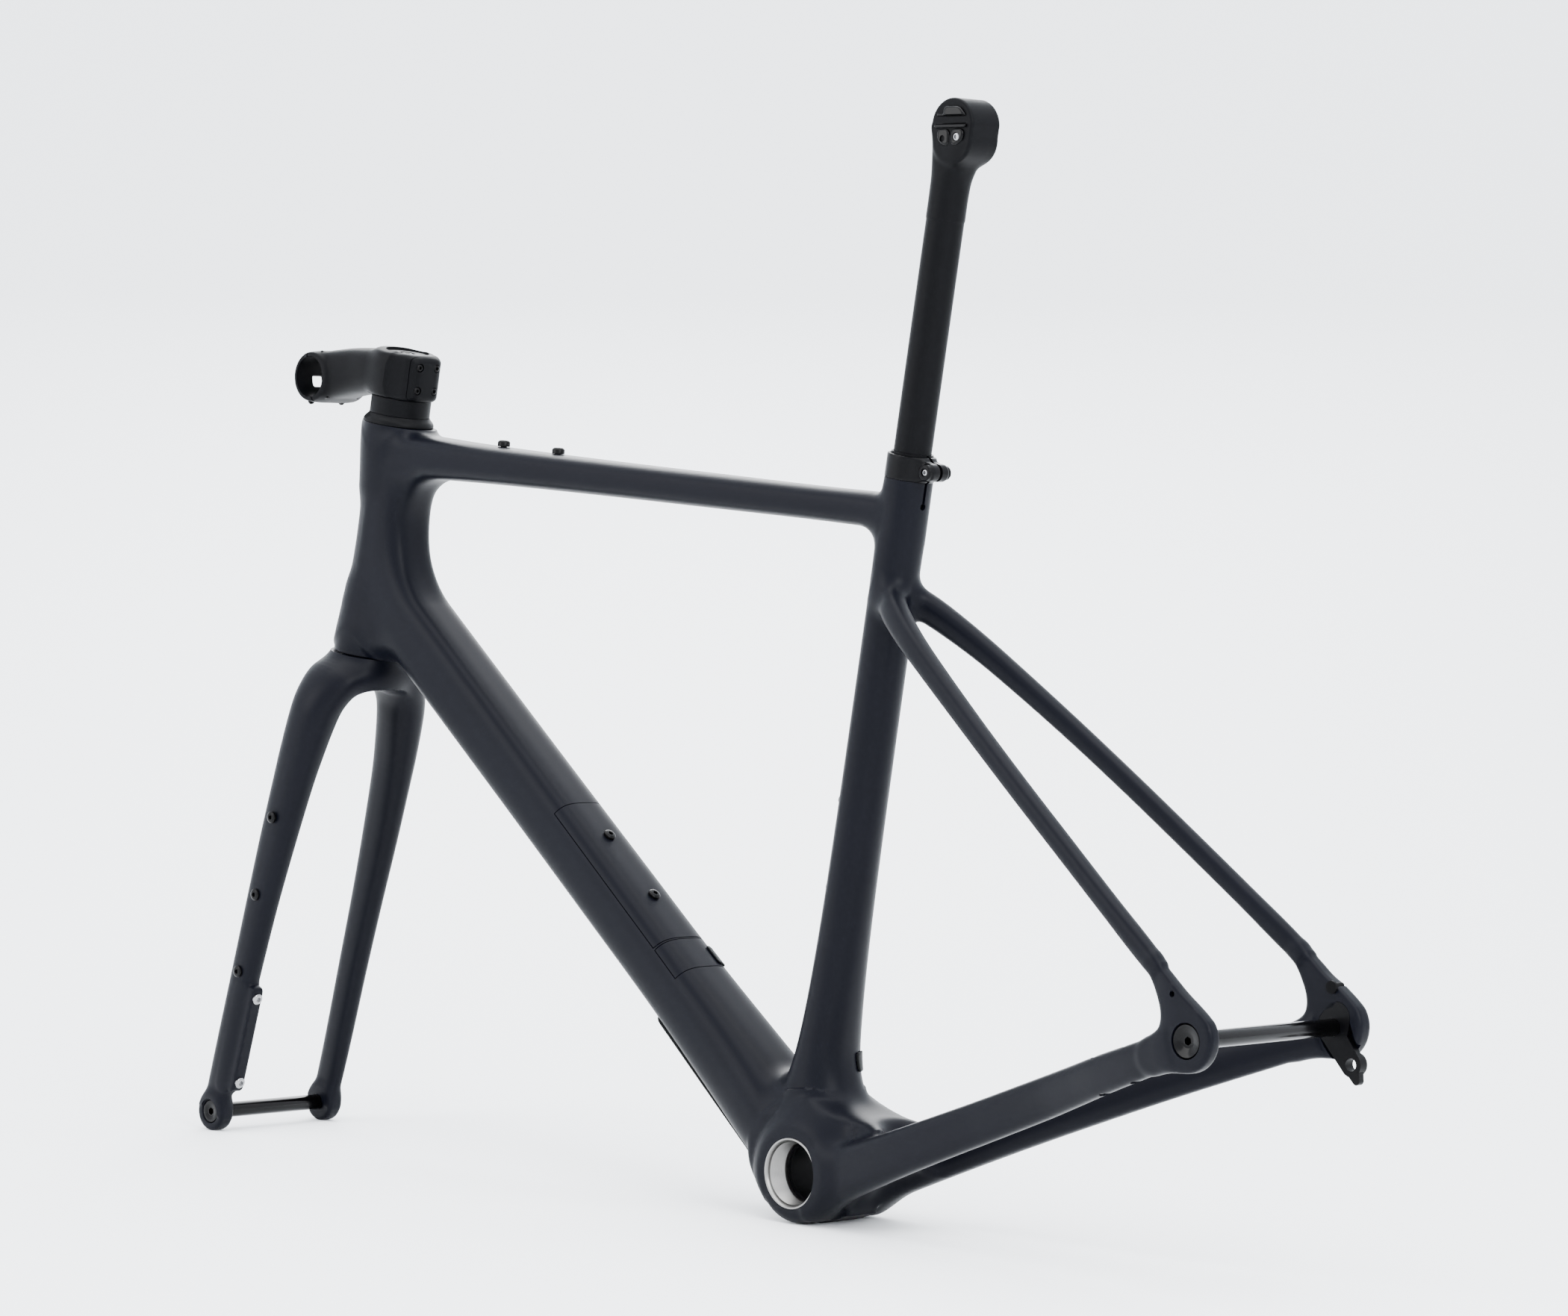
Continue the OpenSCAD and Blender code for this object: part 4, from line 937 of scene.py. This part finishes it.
def thread(r, z0, z1, pitch, depth):
    """ridged wall between two heights, as (radius, height) pairs"""
    n = int((z1 - z0) / pitch)
    out = []
    for i in range(n):
        z = z0 + (z1 - z0) * i / n
        out += [(r, z), (r + depth, z + (z1 - z0) / n * 0.5)]
    return out + [(r, z1)]


def box2(u, v, cu, cv, hu, hv, r):
    a, b = np.abs(u - cu) - (hu - r), np.abs(v - cv) - (hv - r)
    return np.hypot(np.maximum(a, 0), np.maximum(b, 0)) + np.minimum(np.maximum(a, b), 0) - r


# stem
STEM_PATH = Path([(-2, 0, 218.2, 22.8, 17.2, 3.2), (20, 0, 217.8, 22.2, 17.4, 3.2), (45, 0, 213.6, 20.4, 18.2, 3.2),
                  (65, 0, 208.4, 20.8, 18.8, 3.4), (BAR_X, 0, BAR_Z, 22.4, 19.0, 5.0)], (0, 1, 0))


def rounded_cyl(r_, z, r, z0, z1, e):
    a = r_ - (r - e)
    b = np.maximum(z0 + e - z, z - (z1 - e))
    return np.hypot(np.maximum(a, 0), np.maximum(b, 0)) + np.minimum(np.maximum(a, b), 0) - e


def stem_field(P):
    X, Y, Z = P.T
    d = STEM_PATH(P, 0.0, 30.0)
    d = smin(d, rounded_cyl(np.hypot(X, Y), Z, 23.3, SPACER_TOP + 0.05, STEM_TOP, 2.6), 9.0)
    back = slab(box2(X, Y, -11.0, 0.0, 16.0, 17.2, 10.0), Z, SPACER_TOP + 0.6, STEM_TOP - 0.4, 4.0)
    d = smin(d, back, 6.0)
    bar = slab(np.hypot(X - BAR_X, Z - BAR_Z) - 19.15, Y, -22.5, 22.5, 1.6)
    d = smin(d, bar, 5.0)
    return smax(d, (SPACER_TOP + 0.05 - Z) - 60 * smooth((X - 24) / 10.0), 0.6)


stem = field_obj("stem_body", stem_field, (-36, -26, 176), (110, 26, 242), 0.95, STEER)
face = cut(copy_of(stem, "stem_faceplate"), box("c", (0.55, -40, -40), (50, 40, 40), BAR), op="INTERSECT")
rear = cut(copy_of(stem, "stem_rear_clamp"), box("c", (-60, -40, 150), (-22.8, 40, 260), STEER), op="INTERSECT")
cut(stem, box("c", (-0.55, -40, -40), (50, 40, 40), BAR), box("c", (-60, -40, 150), (-22.25, 40, 260), STEER))
bar_bore = rod("c", 15.92, -30, 30, BAR, "y", 96)
cut(stem, bar_bore, keep=True)
cut(face, bar_bore)
steer_bore = rod("c", 14.32, SPACER_TOP - 9, STEM_TOP + 9, STEER, seg=80)
cut(stem, steer_bore)
cut(stem, lathe("c", [(0, STEM_TOP - 6), (16.6, STEM_TOP - 6), (16.6, STEM_TOP - 0.4), (16.9, STEM_TOP + 0.2), (16.9, STEM_TOP + 9),
                      (0, STEM_TOP + 9)], STEER, 80))
cut(face, prism("c", rounded(-6, -5, 6, 4, 1.4), 8, 30, toward(BAR, (0, 0, 0), "x"), "xy"))
for y in (-15.5, 15.5):
    for z in (-17.55, 17.55):
        at = toward(BAR, (0, y, z), "x")
        cut(stem, rod("c", 1.62, -12, 4, at, seg=24))
        cut(face, rod("c", 1.62, -2, 20, at, seg=24))
        cut(face, rod("c", 2.95, 8, 30, at, seg=32))
for z in (9, 27):
    for y in (-8.5, 8.5):
        at = toward(STEER, (0, y, SPACER_TOP + z), "-x")
        cut(stem, rod("c", 2.0, 12.5, 30, at, seg=24))
        cut(rear, rod("c", 2.1, 6, 60, at, seg=24), rod("c", 3.3, 24.6, 60, at, seg=32))
done(stem, "fork", CARBON, ("stem_body",), 28)
done(face, "fork", CARBON, ("stem_faceplate",), 28)
done(rear, "fork", CARBON, ("stem_rear_clamp",), 28)
done(merge("faceplate_screws", [screw("s", 1.55, 19, 2.7, 2.5, toward(BAR, (8.15, y, z), "x")) for y in (-15.5, 15.5) for z in (-17.55, 17.55)]),
     "fork", BLACK_BOLT, ("faceplate_bolts",))
done(merge("rear_clamp_screws", [screw("s", 1.95, 11, 3.0, 2.15, toward(STEER, (-24.65, y, SPACER_TOP + z), "-x"))
                                 for z in (9, 27) for y in (-8.5, 8.5)]), "fork", BLACK_BOLT, ("stem_rear_bolts",))
cap = lathe("top_cap_disc", [(3.1, STEM_TOP - 5.8), (16.1, STEM_TOP - 5.8), (16.4, STEM_TOP - 5.4), (16.4, STEM_TOP - 0.5), (16.0, STEM_TOP - 0.05),
                             (14.6, STEM_TOP + 0.25), (9.0, STEM_TOP + 0.4), (6.4, STEM_TOP + 0.2), (5.4, STEM_TOP - 0.6), (5.2, STEM_TOP - 2.4),
                             (3.1, STEM_TOP - 2.4)], STEER, 80, closed=True)
done(cap, "fork", PLASTIC, ("top_cap",))
plug = [rod("p", 11.35, STEM_TOP - 56, STEM_TOP - 10, STEER, seg=64),
        screw("p", 3.0, 9.6, 4.9, 2.3, local((0, 0, STEM_TOP - 2.3), STEER), "hex", 2.4, 1.9)]
done(merge("expander", plug), "fork", BLACK_BOLT, ("expander_plug",))
spacer = lathe("spacer", [(14.35, HEAD_LEN + 7.3), (23.0, HEAD_LEN + 7.3), (23.35, HEAD_LEN + 7.7), (23.35, SPACER_TOP - 0.4), (23.0, SPACER_TOP),
                          (14.35, SPACER_TOP)], STEER, 96, closed=True)
done(spacer, "fork", CARBON, ("stem_spacer",))
hl = HEAD_LEN + 0.3
cover = lathe("bearing_cover", [(14.35, hl), (27.1, hl), (27.4, hl + 0.3), (27.4, hl + 1.5), (27.0, hl + 2.5), (26.2, hl + 3.7), (24.9, hl + 5.0),
                                (23.9, hl + 6.2), (23.6, hl + 6.95), (14.35, hl + 6.95)], STEER, 96, closed=True)
done(cover, "fork", PLASTIC, ("headset_cover",))

# seatpost and saddle clamp
NECK = Path([(0, 0, 690, 13.55, 13.55, 2.0), (0, 0, 704, 13.56, 13.58, 2.0), (-0.3, 0, 716, 13.6, 13.8, 2.2), (-0.8, 0, 724, 13.8, 14.4, 2.6),
             (-1.8, 0, 733, 14.2, 15.4, 3.4), (-3.0, 0, 741, 14.5, 16.4, 4.6), (-4.5, 0, 748, 14.6, 17.8, 5.5)], (0, 1, 0))


def post_field(P):
    X, Y, Z = P.T
    r_ = np.hypot(X, Y)
    d = np.maximum(r_ - 13.58, Z - 752)
    head = capsule2(X, Z, (-SETBACK, POST_H), (-SETBACK - 2.0, POST_H - 9.0), 19.55, 17.5)
    head = slab(head, Y, -14.8, 14.8, 2.0)
    d = smin(d, NECK(P, 0.0, 30.0), 1.5)
    d = smin(d, head, 5.0)
    return np.maximum(d, 420.0 - Z)


post = field_obj("seatpost_body", post_field, (-34, -22, 660), (22, 22, 782), 0.95, SEATF)
cut(post, box("c", (-60, -60, 600), (60, 60, 672), SEATF))
cut(post, lathe("c", [(0, -30), (17.2, -30), (17.2, -15.3), (15.62, -13.9), (15.62, 13.9), (17.2, 15.3), (17.2, 30), (0, 30)], CLAMP, 96, "y"))
# parting notches of the clamp ring, front and rear
cut(post, box("c", (-24, -20, 2.9), (-17.7, 20, 4.3), CLAMP), box("c", (-24, -20, -4.1), (-17.9, 20, -2.7), CLAMP),
    box("c", (17.7, -20, 3.9), (24, 20, 5.3), CLAMP))
tube = lathe("seatpost_tube", [(11.2, 412), (13.2, 412), (13.58, 412.4), (13.58, 672), (11.2, 672)], SEATF, 96, closed=True)
done(post, "seatpost", CARBON, ("seatpost",), 28)
done(tube, "seatpost", CARBON, (), 28)


def lower_cradle(P):
    X, Y, Z = P.T
    disc = np.hypot(X, Z) - 15.4
    core = smax(slab(disc, Y, -10.5, 10.5, 0.8), Z - 1.2, 0.8)
    lobe = np.minimum(box2(X, Z, 6.7, -8.4, 5.7, 6.2, 3.6), box2(X, Z, -6.7, -8.4, 5.7, 6.2, 3.6))
    lobe = slab(smax(lobe, disc + 0.2, 2.0), Y, -16.9, 16.9, 1.5)
    ridge = slab(smax(box2(X, Z, 0, 0.6, 14.6, 2.0, 1.2), disc, 1.0), Y, -17.3, 17.3, 0.9)
    d = smin(np.minimum(core, lobe), ridge, 0.8)
    return smax(d, 3.5 - np.hypot(np.abs(Y) - 17.5, Z - 4.0), 0.6)


def upper_cradle(P):
    X, Y, Z = P.T
    disc = np.hypot(X, Z) - 15.4
    core = smax(slab(disc, Y, -11.0, 11.0, 0.8), 5.4 - Z, 0.8)
    hook = slab(smax(box2(X, Z, -3.2, 9.4, 9.6, 4.2, 3.4), disc + 0.1, 1.6), Y, -17.3, 17.3, 1.5)
    lip = slab(smax(box2(X, Z, 0.0, 7.4, 13.6, 1.3, 1.0), disc, 0.8), Y, -16.2, 16.2, 0.8)
    d = smin(np.minimum(core, hook), lip, 1.4)
    return smax(d, 3.5 - np.hypot(np.abs(Y) - 17.5, Z - 4.0), 0.6)


low_c = field_obj("cradle_lower", lower_cradle, (-17, -19, -17), (17, 19, 5), 0.62, CLAMP)
cut(low_c, rod("c", 2.6, -30, 30, local((-6, 0, -8), CLAMP), "y", 40))
cut(low_c, rod("c", 2.3, 8, 30, local((6.7, 0, -9.0), CLAMP), "y", 32))
cut(low_c, rod("c", 3.1, 15.0, 30, local((-6, 0, -8), CLAMP), "y", 40))
up_c = field_obj("cradle_upper", upper_cradle, (-17, -19, 2), (17, 19, 17), 0.62, CLAMP)
done(low_c, "saddle_clamp", GLOSS, ("saddle_cradle",), 34)
done(up_c, "saddle_clamp", GLOSS, (), 34)
sc = merge("clamp_screw", [screw("s", 2.5, 29, 2.9, 1.8, toward(CLAMP, (-6, 15.1, -8), "y"), rk=1.7)])
done(sc, "saddle_clamp", STEEL, ("saddle_clamp_bolt",))

# seat collar
cz = SL - 19.0
collar_prof = [(15.9, cz), (17.3, cz), (17.6, cz + 0.3), (17.6, cz + 17.2), (17.3, cz + 17.5), (15.9, cz + 17.5)]


def collar_field(P):
    X, Y, Z = P.T
    r_ = np.hypot(X, Y)
    z_ = Z - cz
    ring = slab(r_ - 17.6, z_, 0.0, 17.5, 1.0)
    ear = slab(capsule2(X, z_, (-13, 8.75), (-24, 8.75), 7.2, 6.2), Y, -7.9, 7.9, 1.4)
    barrel = slab(np.hypot(X + 24, z_ - 8.75) - 5.7, Y, -9, 11.4, 1.3)
    d = smin(ring, ear, 5.0)
    return smin(d, barrel, 1.5)


collar = field_obj("seat_collar", collar_field, (-33, -20, cz - 2), (20, 20, cz + 20), 0.75, SEATF)
cut(collar, rod("c", 15.9, cz - 4, cz + 30, SEATF, seg=96), box("c", (-40, -1.3, cz - 4), (-12, 1.3, cz + 30), SEATF),
    rod("c", 2.7, -12, 14, local((-24, 0, cz + 8.75), SEATF), "y", 32), rod("c", 2.85, 9.0, 14, local((-24, 0, cz + 8.75), SEATF), "y", 32))
done(collar, "frame", ANOD, ("seat_clamp_collar",), 28)
done(merge("collar_screw", [screw("s", 2.3, 18, 2.6, 1.7, toward(SEATF, (-24, 9.1, cz + 8.75), "y"), "hex", 1.5, 1.4)]),
     "frame", STEEL, ("seat_clamp_bolt",))
done(lathe("collar_nut", [(0, 0), (4.4, 0), (5.0, 0.5), (5.0, 2.2), (4.3, 2.9), (0, 2.9)], toward(SEATF, (-24, -9.05, cz + 8.75), "-y"), 40),
     "frame", BLACK_BOLT, ("seat_clamp_nut",))

# bottom bracket inserts: chamfered lip and threaded wall
for side, name, node in ((1, "bb_insert_l", "bb_insert_left"), (-1, "bb_insert_r", "bb_insert_right")):
    to = toward(RIDE, (0, 0, 0), "y" if side > 0 else "-y")
    wall = thread(22.55, 24.0, 39.5, 1.0, 0.42)
    prof = [(25.4, 21.1), (25.4, 42.35), (25.15, 42.75), (24.2, 42.75), (23.1, 41.4), (22.9, 40.4)] + wall[::-1] + [(22.55, 21.1)]
    done(lathe(name, prof, to, 128, closed=True), "frame", SILVER, (node,), 40)

# axles
fa = lathe("front_axle_bar", [(0, -61), (4.9, -61), (5.6, -60.2), (6.0, -59.4), (6.0, 57.7), (8.6, 57.75), (9.0, 58.2), (9.0, 60.6), (8.4, 61.3),
                              (6.0, 61.45), (4.2, 60.7), (0, 60.7)], FRONT, 64, "y")
cut(fa, prism("c", hexagon(3.0), 56, 64, toward(FRONT, (0, 0, 0), "y"), "xy"))
done(fa, "front_axle", GLOSS, ("front_thru_axle",))
ra = lathe("rear_axle_bar", [(0, -84.6), (4.6, -84.6), (5.5, -83.6), (6.0, -82.4), (6.0, 76.2), (11.2, 76.25), (11.6, 76.7), (11.6, 80.4), (10.9, 81.1),
                             (8.4, 80.6), (6.0, 79.6), (4.4, 79.2), (0, 79.2)], REAR, 72, "y")
cut(ra, prism("c", hexagon(3.0), 74, 84, toward(REAR, (0, 0, 0), "y"), "xy"))
done(ra, "rear_axle", GLOSS, ("rear_thru_axle",))

# small frame bolts
TTL = TT_LEN / 547.0
done(merge("top_tube_screws", [screw("s", 2.4, 10, 4.8, 4.6, local((x * TTL, 0, z), TTF), "hex", 2.0, 2.6) for x, z in ((361, 13.9), (422, 14.9))]),
     "frame", BLACK_BOLT, ("top_tube_bolts",))
done(merge("seat_tube_screws", [screw("s", 2.4, 9, 4.6, 3.0, toward(SEATF, (x, 0, z), "x"), "hex", 2.0, 1.8) for z, x in ((205, 18.6), (269, 18.2))]),
     "frame", BLACK_BOLT, ("seat_tube_bottle_bolts",))
done(merge("hatch_screws", [screw("s", 2.4, 9, 4.6, 3.0, local((x, 0, 25.5), DTF), "hex", 2.0, 1.8) for x in (256, 320)]),
     "hatch", BLACK_BOLT, ("hatch_bolts",))
LB = ((15.4, 53, -135, 10.9), (24, 54, -199, 9.3), (OFFSET - 15.4, 55.1, FZ + 118, 8.6))
done(merge("fork_screws", [screw("s", 2.4, 8, 4.6, 2.4, toward(STEER, (x, m * (y + o), z), "y" if m > 0 else "-y"), "hex", 2.0, 1.6)
                           for m in (1, -1) for x, y, z, o in LB]), "fork", BLACK_BOLT, ("fork_mount_bolts",))
a66 = math.radians(6.6)
fb = [screw("s", 2.4, 6, 4.4, 2.6, local((OFFSET - 23.7 - d * 0.1184, 56, FZ + 29.5 + d), STEER, (-math.sin(a66), 0, math.cos(a66)), (0, 1, 0),
                                         (-math.cos(a66), 0, -math.sin(a66)))) for d in (0, 70)]
done(merge("front_caliper_screws", fb), "fork", STEEL, ("front_brake_bolts",))

# derailleur mount cover plate: hugs the back of the seat tube
def plate_field(P):
    q = P - SFOOT
    x, y, z = (q @ SFW) * 0.74 + P[:, 1] * 0.6726, P[:, 1] * 0.74 - (q @ SFW) * 0.6726, q @ SUP
    d = np.maximum(frame_field(P) - 1.5, -(frame_field(P) - 0.05))
    b = box2(y, z, 0.0, 84.5, 6.6, 7.0, 2.4)
    return smax(smax(d, b, 1.0), x + 5.0, 0.5)


pc = SFOOT + 84.5 * SUP - 14.8 * SFW - 14.8 * YV
plate = field_obj("mount_cover", plate_field, tuple(pc - 17), tuple(pc + 17), 0.8)
done(plate, "frame", PLASTIC, ("fd_mount_cover",))


# down tube guard: a skin over the lower side of the tube
def guard_field(P):
    q = P - DT_A
    s_, y, n_ = q @ DT_D, P[:, 1], q @ DT_N
    f = frame_field(P)
    d = smax(f - 2.6, 0.05 - f, 0.3)
    b = box2(y, s_, 0.0, 106.5, 21.0, 78.0, 12.0)
    return smax(smax(d, b, 1.6), n_ + 10.0, 0.5)


g0, g1 = DT_A + 20 * DT_D, DT_A + 192 * DT_D
GL = np.minimum(g0, g1) - np.array([38.0, 26.0, 66.0])
GH = np.maximum(g0, g1) + np.array([38.0, 26.0, 10.0])
guard = field_obj("tube_guard", guard_field, tuple(GL), tuple(GH), 1.4)
cut(guard, box("c", (-200, -200, -90), (200, 200, -36.46), ROW))
done(guard, "frame", RUBBER, ("down_tube_guard",))
# caliper sleeves, flush with the stay above and below
sleeves = []
for i in (0, 1):
    f = 0.775 + (34 / CHAIN if i else 0)
    ax = np.array([sind(11.6), 0, cosd(11.6)])
    o = np.array([REAR_X * f, 62.2 + i * 6, -12 + f * (DROP + 11)])

    def sleeve_field(P, o=o, ax=ax):
        q = P - o
        h = q @ ax
        r_ = np.linalg.norm(q - h[:, None] * ax, axis=1)
        return np.maximum(np.maximum(r_ - 4.15, 2.75 - r_), frame_field(P) + 1.4)

    sleeves.append(field_obj("sleeve", sleeve_field, tuple(o - 17), tuple(o + 17), 0.8))
done(merge("caliper_sleeves", sleeves), "frame", SILVER, ("rear_brake_inserts",), 40)


# raised pull tab at the outer end of the latch
def tab_field(P):
    q = P - DT_A
    s_, y, n_ = q @ DT_D, P[:, 1], q @ DT_N
    f = frame_field(P)
    return smax(smax(smax(f - 1.5, 0.05 - f, 0.5), box2(s_, y, 192.5, -19.0, 9.5, 5.0, 2.4), 1.2), 12.0 - n_, 0.5)


tc = DT_A + 192.5 * DT_D + 24 * DT_N - 19 * YV
tab = field_obj("latch_tab", tab_field, tuple(tc - 16), tuple(tc + 16), 0.8)
done(tab, "latch", PLASTIC, ())
# ---------------------------------------------------------------- camera, floor and light
def look(loc_, rows):
    m = Matrix.Identity(4)
    for i in range(3):
        for j in range(3):
            m[j][i] = rows[i][j]
        m[i][3] = loc_[i]
    return m


cam_data = bpy.data.cameras.new("camera")
cam = bpy.data.objects.new("camera", cam_data)
scene.collection.objects.link(cam)
cam_data.sensor_fit = "HORIZONTAL"
cam_data.sensor_width = 36.0
cam_data.lens = 7251.643 / 2100.0 * 36.0
cam_data.clip_start, cam_data.clip_end = 0.05, 60.0
cam.matrix_world = look((-2.683192, 2.777252, 0.529902),
                        ((-0.7102355, -0.7034629, 0.0265622), (0.0487782, -0.0115361, 0.998743), (-0.7022722, 0.7106384, 0.042507)))
scene.camera = cam

FLOOR_Z = CAD_LO[2]
stage_m = bpy.data.materials.new("stage")
stage_m.use_nodes = True
sb = stage_m.node_tree.nodes["Principled BSDF"]
sb.inputs["Base Color"].default_value = (0.88, 0.895, 0.90, 1)
sb.inputs["Roughness"].default_value = 0.85
sb.inputs["Specular IOR Level"].default_value = 0.15
# floor that curves up into a backdrop, seen from the camera's side
prof = [(-7.0, 0.0)] + [(x, 0.0) for x in np.linspace(-6.0, 2.2, 9)]
prof += [(2.2 + 2.2 * sind(a), 2.2 - 2.2 * cosd(a)) for a in range(6, 91, 6)] + [(4.4, 8.0)]
ddir = np.array([0.7022722, -0.7106384])
ddir /= np.linalg.norm(ddir)
side = np.array([-ddir[1], ddir[0]])
mid = np.array([0.12, 0.0])
SV, SF = [], []
for d_, z_ in prof:
    for w_ in (-9.0, 9.0):
        p_ = mid + ddir * d_ + side * w_
        SV.append((p_[0], p_[1], FLOOR_Z + z_))
for i in range(len(prof) - 1):
    SF.append([2 * i, 2 * i + 1, 2 * i + 3, 2 * i + 2])
sm = bpy.data.meshes.new("floor")
sm.from_pydata(SV, [], SF)
sm.update()
floor = bpy.data.objects.new("floor", sm)
scene.collection.objects.link(floor)
sm.materials.append(stage_m)
sm.polygons.foreach_set("use_smooth", [True] * len(sm.polygons))


def area(name, where, at, size, size_y, watts, colour=(1, 1, 1)):
    L = bpy.data.lights.new(name, "AREA")
    L.shape = "RECTANGLE"
    L.size, L.size_y = size, size_y
    L.energy = watts
    L.color = colour
    o = bpy.data.objects.new(name, L)
    scene.collection.objects.link(o)
    o.location = where
    o.rotation_euler = (Vector(at) - Vector(where)).to_track_quat("-Z", "Y").to_euler()
    return o


w = bpy.data.worlds.new("studio")
scene.world = w
w.use_nodes = True
bg = w.node_tree.nodes["Background"]
bg.inputs[0].default_value = (0.90, 0.93, 1.0, 1)
bg.inputs[1].default_value = 3.3
area("top", (0.1, 0.1, 3.2), (0.1, 0, 0), 3.6, 3.0, 170, (1, 1, 1))
area("left", (-2.6, 0.6, 1.9), (0.1, 0, 0.3), 1.6, 2.2, 120, (0.96, 0.98, 1.0))
area("right", (1.6, 2.8, 1.5), (0.1, 0, 0.3), 1.8, 1.8, 62, (1.0, 0.99, 0.97))
area("back", (2.4, -2.2, 2.0), (0.1, 0, 0.3), 2.4, 2.0, 110, (1, 1, 1))
